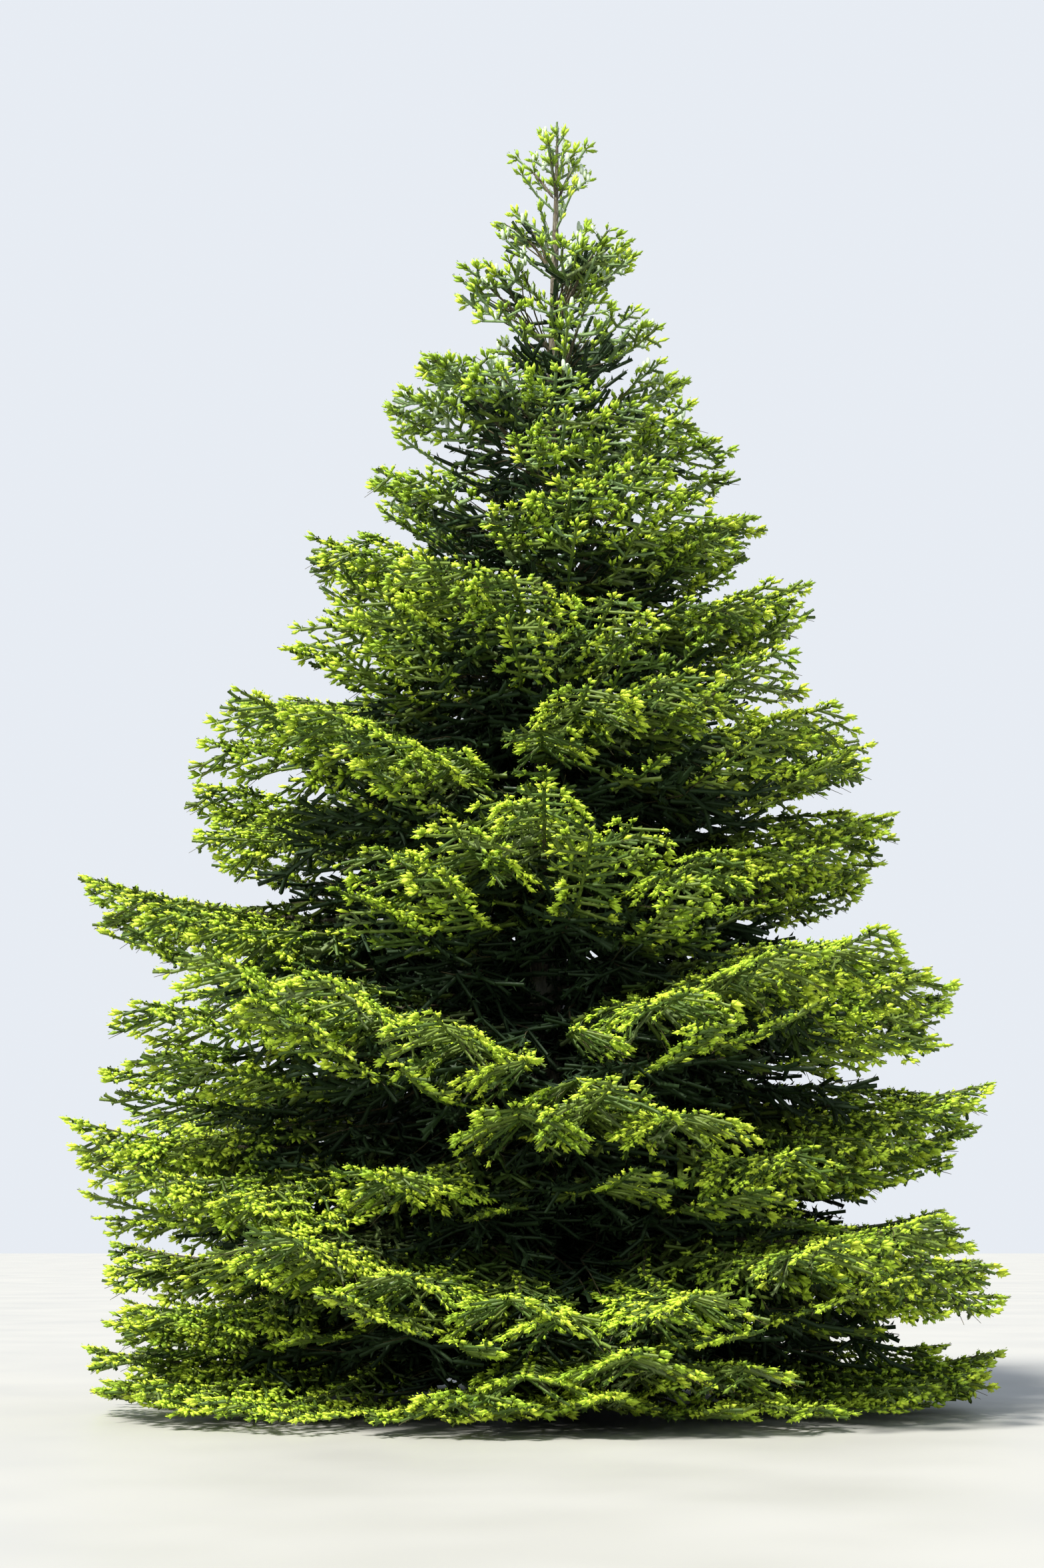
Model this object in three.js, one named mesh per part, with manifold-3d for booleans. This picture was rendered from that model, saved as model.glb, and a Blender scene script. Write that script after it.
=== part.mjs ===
// A Moroccan fir grown in the open: one straight trunk, boughs that climb round it in a spiral from
// the grass to the leader, and masses of needle sprays that droop to both sides of every bough.
// Millimetres, +Z up, -Y towards the viewer. The origin is the centre of the cut at ground level.
import * as THREE from "three";
import { mergeVertices } from "three/addons/utils/BufferGeometryUtils.js";
import Module from "manifold-3d";

const wasm = await Module();
wasm.setup();

// Driving sizes of the whole tree
const HEIGHT = 13000;
const GROUND_CLEARANCE = 25;
const TRUNK_CLEARANCE = 20; // between the bark and a side twig of any spray
const GAP = 0.3; // between a mass and the wood that carries it
const SEED = 7;

// The trunk: girth at the base, its root flare and the slight sway of its axis
const TRUNK = {
  radius: 205,
  tipRadius: 8,
  taper: 0.92,
  flare: 135,
  flareHeight: 330,
  lobes: 5,
  lobeDepth: 0.13,
  sway: 55,
  sides: 12,
  rings: 13,
  crowding: 1.7, // how much closer together the rings stand towards the ground
};

// Half outline of the crown, read at the tips of the boughs:
// height of the tip, reach to the left (-X), reach to the right (+X)
const OUTLINE = [
  { height: 0, left: 4200, right: 4000 },
  { height: 800, left: 4300, right: 4300 },
  { height: 3100, left: 4580, right: 4250 },
  { height: 5000, left: 4530, right: 3750 },
  { height: 5800, left: 3750, right: 3250 },
  { height: 6700, left: 3420, right: 3120 },
  { height: 7600, left: 3050, right: 2840 },
  { height: 9100, left: 1900, right: 1980 },
  { height: 10300, left: 1500, right: 1480 },
  { height: 11300, left: 930, right: 1100 },
  { height: 11900, left: 720, right: 860 },
  { height: 13000, left: 470, right: 470 },
];
const DIAGONAL = 0.12; // how much further the boughs between the four main directions reach

// Turns of the spiral of boughs, from the ground up. first is the direction of a turn's first
// bough in degrees from +X, root and tip are its heights, and climb is the share of the rise to
// the next turn over which its boughs are spread, all of it where it isn't given. clad is the
// share of the bough where its foliage starts, above and below bound the layer that its foliage
// keeps to, droop is the slope of its sprays in degrees and spread the length of their side twigs.
const TURNS = [
  { first: -10, root: 1000, tip: 600, boughs: 5, climb: 0.15,
    clad: 0.36, above: 520, below: 560, droop: 20, spread: 480 },
  { first: 170, root: 1850, tip: 1550, boughs: 5, climb: 0.45,
    clad: 0.36, above: 480, below: 780, droop: 28, spread: 520 },
  { first: 206, root: 2800, tip: 2650, boughs: 5, climb: 0.8,
    clad: 0.32, above: 480, below: 780, droop: 30, spread: 520 },
  { first: 231, root: 3750, tip: 3900, boughs: 5,
    clad: 0.3, above: 500, below: 780, droop: 30, spread: 520 },
  { first: 267, root: 4800, tip: 5300, boughs: 5,
    clad: 0.26, above: 500, below: 780, droop: 28, spread: 460 },
  { first: 303, root: 5900, tip: 6750, boughs: 4,
    clad: 0.24, above: 460, below: 760, droop: 26, spread: 430 },
  { first: 348, root: 6950, tip: 7950, boughs: 4,
    clad: 0.24, above: 440, below: 740, droop: 24, spread: 400 },
  { first: 33, root: 7900, tip: 8900, boughs: 3,
    clad: 0.22, above: 420, below: 640, droop: 20, spread: 340 },
  { first: 93, root: 8750, tip: 9750, boughs: 3,
    clad: 0.22, above: 400, below: 580, droop: 16, spread: 280 },
  { first: 153, root: 9600, tip: 10500, boughs: 3,
    clad: 0.22, above: 380, below: 540, droop: 12, spread: 230 },
  { first: 213, root: 10450, tip: 11250, boughs: 4, climb: 0.7,
    clad: 0.22, above: 340, below: 480, droop: 6, spread: 190 },
  { first: 25, root: 12150, tip: 12850, boughs: 3, climb: 0,
    clad: 0.22, above: 300, below: 420, droop: -6, spread: 150 },
];
const LIMB_TURNS = 2; // the lowest turns, whose boughs show bare wood inside the crown
const FULL_TURNS = 6; // the lowest turns, whose masses have all their sprays and teeth
const LAYER_EDGE = 0.4; // how much thinner the layer is at the edge of its sector
const FOLD = 0.5; // how far the layer follows the slope of the sprays

// How a bough runs and tapers
const BOUGH = {
  sag: 0.035,
  tipCurl: 0.05,
  rise: 1.7,
  inset: 0.6, // where it starts, as a share of the trunk's radius
  rootRadius: 62,
  tipRadius: 15,
  taper: 0.8,
  turnJitter: 4,
  heightJitter: 45,
};

// How a spray is built on its midrib
const SPRAY = {
  sweep: 58, // degrees between a side twig and the midrib
  thickness: 24, // of a spray that is standardLength long
  standardLength: 2200,
  slimmest: 95, // most times longer than thick
  bare: 0.26, // share of a spray's twig that has no needles
  notch: 0.13, // depth left between two teeth, as a share of the spread
  unevenness: 0.28,
  shorter: 0.88, // each try at fitting a side twig into its space
  shortest: 0.3,
  narrower: 0.75, // each try at fitting a whole spray into its space
  arch: 0.03,
  roll: -0.12,
  jitter: 0.05,
  lowest: 130, // height of the lowest end of a midrib
};

// The dense heart of a mass. from and to are shares of the clad stretch of the bough, wide is a
// share of the half sector, over and under are shares of the layer above and below the bough.
const HEART = { from: 0.01, to: 0.72, wide: 0.82, over: 0.66, under: 0.7, blunt: 0.25, around: 6, rings: 5 };
const HEART_CLEARANCE = 40; // between the lowest heart and the ground's clearance

// The sprays that stand out of the heart, as pairs beside one that carries on to the tip.
// from and to are shares of the clad stretch, swingFrom and swingTo are directions beside the
// bough as shares of the half sector, dropFrom and dropTo lower the ends as shares of the reach.
const TIP_SPRAY = { from: 0.6, to: 1, swingFrom: 0, swingTo: 0, dropFrom: 0, dropTo: 0, teeth: 3 };
const PAIRS = [
  { from: 0.4, to: 0.84, swingFrom: 0.56, swingTo: 0.76, dropFrom: 0.04, dropTo: 0.075, teeth: 3 },
  { from: 0.56, to: 0.94, swingFrom: 0.3, swingTo: 0.5, dropFrom: 0.01, dropTo: 0.02, teeth: 2 },
];
const PAIR_SPREAD = 0.92;
const PAIR_DROP_JITTER = 0.12;
const PAIR_END_JITTER = 0.3;

// The stem of a mass: its sides, its steps with and without a limb, and where it ends
const STEM = { sides: 3, shortSteps: 1, longSteps: 3, end: 0.2, leaderEnd: 0.75 };
const LIMB = { sides: 6, steps: 3 };

const MATERIALS = {
  bark: new THREE.MeshStandardMaterial({ color: 0x6f6152, roughness: 0.95, metalness: 0 }),
  bough: new THREE.MeshStandardMaterial({ color: 0x5d5040, roughness: 0.95, metalness: 0 }),
  needles: new THREE.MeshStandardMaterial({ color: 0x5f8a2e, roughness: 0.7, metalness: 0 }),
};

const UP = new THREE.Vector3(0, 0, 1);
const { lerp, clamp, degToRad } = THREE.MathUtils;

// A repeatable row of numbers from 0 to 1: each call of the returned function gives the next.
function seeded(seed) {
  const modulus = 4294967296;
  let state = (seed * 2654435761) % modulus;
  const next = () => {
    state = (state * 1664525 + 1013904223) % modulus;
    return state / modulus;
  };
  next();
  next();
  return next;
}

// Geometry and solids

function welded(geometry) {
  const copy = geometry.clone();
  copy.deleteAttribute("normal");
  copy.deleteAttribute("uv");
  return mergeVertices(copy, 1e-5);
}

function solidOf(geometry) {
  return new wasm.Manifold(
    new wasm.Mesh({
      numProp: 3,
      vertProperties: new Float32Array(geometry.getAttribute("position").array),
      triVerts: new Uint32Array(geometry.index.array),
    }),
  );
}

function geometryOf(solid) {
  const mesh = solid.getMesh();
  return new THREE.BufferGeometry()
    .setAttribute("position", new THREE.BufferAttribute(mesh.vertProperties, 3))
    .setIndex(new THREE.BufferAttribute(mesh.triVerts, 1));
}

function largestBody(solid) {
  return solid.decompose().sort((a, b) => b.volume() - a.volume())[0];
}

// Trunk

function trunkAxis(height) {
  const share = height / HEIGHT;
  return new THREE.Vector2(
    TRUNK.sway * (Math.sin(share * 4.2) * -0.9 + share * share * 1.1),
    TRUNK.sway * Math.sin(share * 3.1) * 0.7,
  );
}

function trunkRadius(height) {
  const share = clamp(height / HEIGHT, 0, 1);
  const shaft = TRUNK.tipRadius + (TRUNK.radius - TRUNK.tipRadius) * Math.pow(1 - share, TRUNK.taper);
  return shaft + TRUNK.flare * Math.exp(-height / TRUNK.flareHeight);
}

// The trunk as one closed geometry, grown outwards by extra.
function trunkGeometry(extra = 0) {
  const geometry = welded(new THREE.CylinderGeometry(1, 1, 1, TRUNK.sides, TRUNK.rings));
  const position = geometry.getAttribute("position");
  for (let i = 0; i < position.count; i++) {
    const share = clamp(position.getY(i) + 0.5, 0, 1);
    const height = HEIGHT * Math.pow(share, TRUNK.crowding);
    const angle = Math.atan2(position.getZ(i), position.getX(i));
    const middle = Math.hypot(position.getX(i), position.getZ(i));
    const lobe = 1 + TRUNK.lobeDepth * Math.cos(TRUNK.lobes * angle) * Math.exp(-height / TRUNK.flareHeight);
    const radius = middle * (trunkRadius(height) * lobe + extra);
    const axis = trunkAxis(height);
    position.setXYZ(i, axis.x + radius * Math.cos(angle), axis.y - radius * Math.sin(angle), height);
  }
  return geometry;
}

// Boughs

function outlineReach(height, azimuth) {
  const above = Math.max(OUTLINE.findIndex((row) => row.height > height), 1);
  const [low, high] = [OUTLINE[above - 1], OUTLINE[above]];
  const share = clamp((height - low.height) / (high.height - low.height), 0, 1);
  const left = lerp(low.left, high.left, share);
  const right = lerp(low.right, high.right, share);
  const diagonal = 1 + DIAGONAL * Math.sin(2 * azimuth) ** 2;
  return diagonal * ((left + right) / 2 + ((right - left) / 2) * Math.cos(azimuth));
}

// Every bough of the tree, from the lowest one up: where it starts, points and ends. In a full turn
// of the spiral a step is a little over an even share, so that the boughs of the next turn point
// between those of this one.
function allBoughs() {
  const random = seeded(SEED);
  return TURNS.flatMap((turn, level) => {
    const next = TURNS[Math.min(level + 1, TURNS.length - 1)];
    const { boughs, climb = 1 } = turn;
    const step = (360 / boughs) * (climb < 1 ? 1 : 1 + 0.5 / boughs);
    const jitter = (size) => (random() * 2 - 1) * size;
    return Array.from({ length: boughs }, (_, number) => {
      const climbed = (climb * number) / boughs;
      const azimuth = degToRad(turn.first + step * number + jitter(BOUGH.turnJitter));
      const root = lerp(turn.root, next.root, climbed) + jitter(BOUGH.heightJitter);
      const tip = lerp(turn.tip, next.tip, climbed) + jitter(BOUGH.heightJitter);
      const sector = Math.PI / boughs - degToRad(BOUGH.turnJitter);
      const reach = outlineReach(tip, azimuth);
      return { turn, level, number, azimuth, sector, root, tip, reach, seed: SEED + level * 16 + number };
    });
  });
}

// A point on a bough's centre line: share 0 is in the trunk, share 1 is the furthest tip.
// swing moves the point round the trunk and lift raises it.
function boughPoint(bough, share, swing = 0, lift = 0) {
  const start = trunkRadius(bough.root) * BOUGH.inset;
  const distance = start + (bough.reach - start) * share;
  const rise = (bough.tip - bough.root) * (1 - Math.pow(Math.max(1 - share, 0), BOUGH.rise));
  const bend = -bough.reach * BOUGH.sag * Math.sin(Math.PI * share);
  const curl = bough.reach * BOUGH.tipCurl * (Math.pow(share, 5) - share);
  const axis = trunkAxis(bough.root);
  const angle = bough.azimuth + swing;
  return new THREE.Vector3(
    axis.x * (1 - share) + distance * Math.cos(angle),
    axis.y * (1 - share) + distance * Math.sin(angle),
    bough.root + rise + bend + curl + lift,
  );
}

function boughRadius(bough, share) {
  const scale = Math.sqrt(bough.reach / OUTLINE[0].left);
  return scale * lerp(BOUGH.rootRadius, BOUGH.tipRadius, Math.pow(share, BOUGH.taper));
}

// A stretch of a bough's wood as one tapering limb. Its flat ends are square to the centre line.
function stretchOfBough(bough, from, to, steps, sides) {
  const geometry = welded(new THREE.CylinderGeometry(1, 1, 1, sides, steps));
  const position = geometry.getAttribute("position");
  const nearby = 0.001;
  for (let i = 0; i < position.count; i++) {
    const share = lerp(from, to, position.getY(i) + 0.5);
    const before = boughPoint(bough, share - nearby);
    const along = boughPoint(bough, share + nearby).sub(before).normalize();
    const side = along.clone().cross(UP).normalize();
    const over = side.clone().cross(along);
    const radius = boughRadius(bough, share);
    const point = boughPoint(bough, share)
      .addScaledVector(side, position.getX(i) * radius)
      .addScaledVector(over, position.getZ(i) * radius);
    position.setXYZ(i, point.x, point.y, point.z);
  }
  return solidOf(geometry);
}

// Foliage

// True where a point keeps to the sector and the layer of its bough. The layer slopes down and
// thins out sideways.
function inSpace(bough, point) {
  const { above, below, droop } = bough.turn;
  const distance = Math.hypot(point.x, point.y);
  const turned = Math.atan2(point.y, point.x) - bough.azimuth;
  const swing = Math.abs(Math.atan2(Math.sin(turned), Math.cos(turned)));
  const slope = Math.sin(swing) * distance * Math.tan(degToRad(droop)) * FOLD;
  const middle = boughPoint(bough, clamp(distance / bough.reach, 0, 1)).z - slope;
  const thinner = 1 - (LAYER_EDGE * swing) / bough.sector;
  return (
    point.z > GROUND_CLEARANCE &&
    point.z < middle + above * thinner &&
    point.z > middle - below * thinner &&
    swing < bough.sector &&
    distance > trunkRadius(point.z) + TRUNK_CLEARANCE
  );
}

// The toothed outline of a spray, flat: x runs along the midrib, y to both sides of it.
// fits says whether a corner keeps to the mass's space; a side twig is cut back until it does.
function sprayOutline(length, thickness, spread, teeth, random, fits) {
  const sweep = degToRad(SPRAY.sweep);
  const sides = [1, -1].map((side) => {
    const corners = [new THREE.Vector2(length * SPRAY.bare, side * spread * SPRAY.notch)];
    for (let i = 0; i < teeth; i++) {
      const share = lerp(SPRAY.bare, 1, (i + 0.3) / teeth);
      const taper = Math.pow(1 - share, 0.62) * Math.min(1, 0.62 + share * 1.6);
      const full = spread * taper * (1 + SPRAY.unevenness * (random() - 0.5));
      const tipAt = (reach) =>
        new THREE.Vector2(length * share + reach * Math.cos(sweep), side * reach * Math.sin(sweep));
      let reach = full;
      while (reach > full * SPRAY.shortest && !fits(tipAt(reach))) reach *= SPRAY.shorter;
      corners.push(tipAt(reach));
      const next = lerp(SPRAY.bare, 1, (i + 1) / teeth);
      const waist = spread * SPRAY.notch * (1 - next * 0.6);
      if (i < teeth - 1) corners.push(new THREE.Vector2(length * next, side * waist));
    }
    return corners;
  });
  const tip = new THREE.Vector2(length, 0);
  const root = [1, -1].map((side) => new THREE.Vector2(0, (side * thickness) / 2));
  return [...root, ...sides[1], tip, ...sides[0].reverse()];
}

// A spray: a toothed blade on its stalk, folded down along its midrib. It is made narrower until
// it keeps to the space of its mass, and it is null where even the narrowest one would leave it.
function spray(bough, { start, end, spread, teeth, roll }, random) {
  const forward = end.clone().sub(start);
  const length = forward.length();
  forward.normalize();
  const level = UP.clone().cross(forward).normalize().applyAxisAngle(forward, roll);
  const upward = forward.clone().cross(level);
  const fold = Math.tan(degToRad(bough.turn.droop));
  const place = (corner, above = 0) => {
    const arch = SPRAY.arch * length * Math.sin((Math.PI * corner.x) / length);
    return start
      .clone()
      .addScaledVector(forward, corner.x)
      .addScaledVector(level, corner.y)
      .addScaledVector(upward, arch - Math.abs(corner.y) * fold + above);
  };
  const fits = (corner) => inSpace(bough, place(corner));
  const thickness = Math.max((SPRAY.thickness * length) / SPRAY.standardLength, length / SPRAY.slimmest);
  let width = spread;
  let outline = sprayOutline(length, thickness, width, teeth, random, fits);
  while (!outline.slice(2).every(fits)) {
    width *= SPRAY.narrower;
    if (width < spread * SPRAY.shortest) return null;
    outline = sprayOutline(length, thickness, width, teeth, random, fits);
  }
  const blade = new THREE.ExtrudeGeometry(new THREE.Shape(outline), {
    depth: thickness,
    bevelEnabled: false,
    steps: 1,
  });
  const geometry = welded(blade);
  const position = geometry.getAttribute("position");
  for (let i = 0; i < position.count; i++) {
    const corner = new THREE.Vector2(position.getX(i), position.getY(i));
    const point = place(corner, position.getZ(i) - thickness / 2);
    position.setXYZ(i, point.x, point.y, point.z);
  }
  return solidOf(geometry);
}

// The heart of a mass: a long rounded body along the bough, ridged on top, that hangs lower at
// its sides.
function heart(bough) {
  const { clad, boughs, droop, above, below } = bough.turn;
  const ridgeUp = Math.PI / HEART.around;
  const geometry = welded(new THREE.SphereGeometry(1, HEART.around, HEART.rings).rotateY(ridgeUp));
  const position = geometry.getAttribute("position");
  const slope = Math.tan(degToRad(droop)) * FOLD;
  for (let i = 0; i < position.count; i++) {
    const y = position.getY(i);
    const fuller = Math.pow(Math.max(Math.hypot(position.getX(i), position.getZ(i)), 0.01), -HEART.blunt);
    const [x, z] = [position.getX(i) * fuller, position.getZ(i) * fuller];
    const share = lerp(clad, 1, lerp(HEART.from, HEART.to, (1 - y) / 2));
    const swing = (Math.PI / boughs) * HEART.wide * x;
    const beside = Math.abs(Math.sin(swing)) * share * bough.reach;
    const height = z > 0 ? HEART.over * above : HEART.under * below;
    const point = boughPoint(bough, share, swing, height * z - beside * slope);
    const lowest = GROUND_CLEARANCE + HEART_CLEARANCE * (1 + y / 2);
    position.setXYZ(i, point.x, point.y, Math.max(point.z, lowest));
  }
  return solidOf(geometry);
}

// The sprays of one mass, each as its two ends, its spread and its teeth.
function spraysOf(bough, random) {
  const { clad, spread, boughs } = bough.turn;
  const full = bough.level < FULL_TURNS;
  const at = (share, swing, drop) => {
    const point = boughPoint(bough, lerp(clad, 1, share), (Math.PI / boughs) * swing, -bough.reach * drop);
    return point.setZ(Math.max(point.z, SPRAY.lowest));
  };
  const layout = [{ ...TIP_SPRAY, side: 0 }];
  const pairs = full ? PAIRS : PAIRS.slice(0, 1);
  for (const pair of isLeader(bough) ? [] : pairs) {
    for (const side of [-1, 1]) {
      const shift = (random() * 2 - 1) * SPRAY.jitter;
      layout.push({
        ...pair,
        side,
        swingFrom: pair.swingFrom * side,
        swingTo: (pair.swingTo + shift) * side,
        dropTo: pair.dropTo + shift * PAIR_DROP_JITTER,
        to: pair.to + shift * PAIR_END_JITTER,
      });
    }
  }
  return layout.map(({ from, to, swingFrom, swingTo, dropFrom, dropTo, teeth, side }) => ({
    start: at(from, swingFrom, dropFrom),
    end: at(to, swingTo, dropTo),
    spread: side ? spread * PAIR_SPREAD : spread,
    teeth: full ? teeth : 2,
    roll: side * SPRAY.roll,
  }));
}

// True for the sparse boughs round the leader.
function isLeader(bough) {
  return bough.level === TURNS.length - 1;
}

// One mass of foliage: a stem that carries on from the bough or the trunk, its dense heart, and
// the sprays that stand out of it.
function foliage(bough, from, steps) {
  const random = seeded(bough.seed * 31 + 5);
  const stemEnd = lerp(bough.turn.clad, 1, isLeader(bough) ? STEM.leaderEnd : STEM.end);
  const stem = stretchOfBough(bough, from, stemEnd, steps, STEM.sides);
  const sprays = spraysOf(bough, random).map((sizes) => spray(bough, sizes, random));
  const dense = isLeader(bough) ? [] : [heart(bough)];
  return wasm.Manifold.union([stem, ...dense, ...sprays.filter(Boolean)]);
}

// The tree

const tree = new THREE.Group();

function addNode(name, solid, material) {
  const mesh = new THREE.Mesh(geometryOf(largestBody(solid)), material);
  mesh.name = name;
  tree.add(mesh);
}

addNode("trunk", solidOf(trunkGeometry()), MATERIALS.bark);
const aroundTrunk = solidOf(trunkGeometry(GAP));
for (const bough of allBoughs()) {
  const label = `${bough.level + 1}_${bough.number + 1}`;
  const { clad } = bough.turn;
  if (bough.level < LIMB_TURNS) {
    const limb = stretchOfBough(bough, 0, clad, LIMB.steps, LIMB.sides).subtract(aroundTrunk);
    addNode(`bough_${label}`, limb, MATERIALS.bough);
    const meeting = clad + GAP / bough.reach;
    addNode(`foliage_${label}`, foliage(bough, meeting, STEM.shortSteps), MATERIALS.needles);
  } else {
    const mass = foliage(bough, 0, STEM.longSteps).subtract(aroundTrunk);
    addNode(`foliage_${label}`, mass, MATERIALS.needles);
  }
}

export default tree;
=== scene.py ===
"""The looks of a Moroccan fir grown in the open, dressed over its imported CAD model.

The wood is one trunk and forty-nine boughs with bark. On every bough grow flat sprays of twigs
by the rule of the part's source: a spray keeps to the sector and the layer of its bough. Each
twig is a row of yearly units, old ones in dark needles and the last one in bright new needles.
All sizes are in metres, +Z is up and the viewer stands towards -Y.
"""

import logging
import math
from collections.abc import Iterator
from contextlib import contextmanager
from dataclasses import dataclass, field, replace
from enum import Enum
from functools import cache

import bpy
import numpy as np
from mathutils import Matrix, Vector

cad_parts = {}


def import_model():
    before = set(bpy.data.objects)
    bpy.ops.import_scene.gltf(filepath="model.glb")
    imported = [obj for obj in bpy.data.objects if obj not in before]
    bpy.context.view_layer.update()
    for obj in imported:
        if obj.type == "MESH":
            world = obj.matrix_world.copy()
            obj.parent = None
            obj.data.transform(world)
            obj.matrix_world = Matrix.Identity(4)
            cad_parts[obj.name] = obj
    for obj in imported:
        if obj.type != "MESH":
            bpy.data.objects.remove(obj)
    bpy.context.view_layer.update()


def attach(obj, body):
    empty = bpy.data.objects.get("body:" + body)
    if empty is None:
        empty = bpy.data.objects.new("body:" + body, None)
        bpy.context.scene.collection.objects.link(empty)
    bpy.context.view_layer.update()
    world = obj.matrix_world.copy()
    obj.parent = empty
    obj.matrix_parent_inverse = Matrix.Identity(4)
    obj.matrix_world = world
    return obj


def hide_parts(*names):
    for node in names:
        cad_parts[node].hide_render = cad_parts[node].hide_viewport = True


log = logging.getLogger("fir")

Colour = tuple[float, float, float]
UP = Vector((0.0, 0.0, 1.0))
GOLDEN_ANGLE = math.pi * (3 - math.sqrt(5))


def lerp(low: float, high: float, share: float) -> float:
    """The value a share of the way from low to high."""
    return low + (high - low) * share


def clamp(value: float, low: float = 0.0, high: float = 1.0) -> float:
    """The value, kept between low and high."""
    return max(low, min(high, value))


class Seeded:
    """A repeatable row of numbers, the same as in the part's source."""

    MODULUS = 4294967296

    def __init__(self, seed: int) -> None:
        """Starts the row.

        Args:
            seed: Any whole number; the same one gives the same row.
        """
        self.state = (seed * 2654435761) % self.MODULUS
        self.next()
        self.next()

    def next(self) -> float:
        """The next number, from 0 to 1."""
        self.state = (self.state * 1664525 + 1013904223) % self.MODULUS
        return self.state / self.MODULUS

    def around(self, size: float) -> float:
        """The next number, from -size to size."""
        return (self.next() * 2 - 1) * size

    def between(self, low: float, high: float) -> float:
        """The next number, from low to high."""
        return low + (high - low) * self.next()

    def pick(self, table: dict) -> object:
        """One key of a table of keys and their shares.

        Args:
            table: What can be picked, each with its share of all picks.

        Returns:
            The picked key.
        """
        left = self.next() * sum(table.values())
        for key, share in table.items():
            left -= share
            if left <= 0:
                return key
        return key


# Meshes


def clear_selection() -> None:
    """Leaves nothing selected and no object in edit mode."""
    if bpy.context.object is not None and bpy.context.object.mode != "OBJECT":
        bpy.ops.object.mode_set(mode="OBJECT")
    bpy.ops.object.select_all(action="DESELECT")


def choose(*objects: bpy.types.Object) -> None:
    """Selects these objects alone and makes the first one active."""
    clear_selection()
    for item in objects:
        item.select_set(True)
    bpy.context.view_layer.objects.active = objects[0]


@contextmanager
def editing() -> Iterator[None]:
    """Edit mode on the active object, with all of it selected."""
    bpy.ops.object.mode_set(mode="EDIT")
    bpy.ops.mesh.select_all(action="SELECT")
    yield
    bpy.ops.object.mode_set(mode="OBJECT")


def face_outward() -> None:
    """Turns all faces of the mesh that is edited outward."""
    bpy.ops.mesh.select_all(action="SELECT")
    bpy.ops.mesh.normals_make_consistent(inside=False)


def mesh_object(name: str, vertices: np.ndarray, triangles: np.ndarray) -> bpy.types.Object:
    """Makes a mesh object out of arrays.

    Args:
        name: The object's name.
        vertices: Points, one row each.
        triangles: Vertex numbers, three to a row.

    Returns:
        The new object, in the scene.
    """
    mesh = bpy.data.meshes.new(name)
    mesh.vertices.add(len(vertices))
    mesh.vertices.foreach_set("co", vertices.astype(np.float32).ravel())
    mesh.loops.add(triangles.size)
    mesh.loops.foreach_set("vertex_index", triangles.astype(np.int32).ravel())
    mesh.polygons.add(len(triangles))
    mesh.polygons.foreach_set("loop_start", np.arange(0, triangles.size, 3, dtype=np.int32))
    mesh.update(calc_edges=True)
    made = bpy.data.objects.new(name, mesh)
    bpy.context.scene.collection.objects.link(made)
    return made


def stack(parts: list[tuple[np.ndarray, np.ndarray]]) -> tuple[np.ndarray, np.ndarray]:
    """Joins the arrays of several meshes.

    Args:
        parts: Points and triangles of each mesh.

    Returns:
        The points and the triangles of all of them.
    """
    starts = np.cumsum([0] + [len(points) for points, _ in parts[:-1]])
    points = np.concatenate([points for points, _ in parts])
    triangles = np.concatenate([part + start for (_, part), start in zip(parts, starts)])
    return points, triangles


@dataclass
class Limb:
    """A round tapering length of wood, drawn out ring by ring along a line of points."""

    name: str
    points: list[Vector]
    radii: list[float]
    sides: int

    def build(self) -> bpy.types.Object:
        """Adds the first ring and extrudes it from point to point.

        Returns:
            The closed limb as a mesh object.
        """
        clear_selection()
        heading = (self.points[1] - self.points[0]).normalized()
        turn = heading.to_track_quat("Z", "Y").to_euler()
        bpy.ops.mesh.primitive_circle_add(
            vertices=self.sides, radius=self.radii[0], fill_type="NGON",
            location=self.points[0], rotation=turn,
        )
        made = bpy.context.object
        made.name = made.data.name = self.name
        bpy.ops.object.transform_apply(location=True, rotation=True, scale=True)
        with editing():
            for before, after, thick, thin in zip(self.points, self.points[1:], self.radii, self.radii[1:]):
                bpy.ops.mesh.extrude_region_move(TRANSFORM_OT_translate={"value": tuple(after - before)})
                bpy.ops.transform.resize(value=(thin / thick,) * 3, center_override=tuple(after))
            face_outward()
        return made


@dataclass(frozen=True)
class BarkRelief:
    """The lumps and furrows that bark raises on a limb, longer along the wood than across it."""

    grain: float
    stretch: float
    depth: float

    def press(self, wood: bpy.types.Object) -> None:
        """Subdivides a limb and displaces its surface.

        Args:
            wood: The smooth limb.
        """
        choose(wood)
        smooth = wood.modifiers.new("rounder", "SUBSURF")
        smooth.levels = smooth.render_levels = 1
        bpy.ops.object.modifier_apply(modifier=smooth.name)
        texture = bpy.data.textures.new("bark lumps", "CLOUDS")
        texture.noise_scale = 1.0
        texture.noise_depth = 3
        scaler = bpy.data.objects.new("bark scaler", None)
        scaler.scale = (self.grain, self.grain, self.grain * self.stretch)
        bpy.context.scene.collection.objects.link(scaler)
        bpy.context.view_layer.update()
        relief = wood.modifiers.new("relief", "DISPLACE")
        relief.texture = texture
        relief.texture_coords = "OBJECT"
        relief.texture_coords_object = scaler
        relief.strength = self.depth
        relief.mid_level = 0.5
        choose(wood)
        bpy.ops.object.modifier_apply(modifier=relief.name)
        bpy.data.objects.remove(scaler)
        bpy.data.textures.remove(texture)


# Finishes


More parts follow.
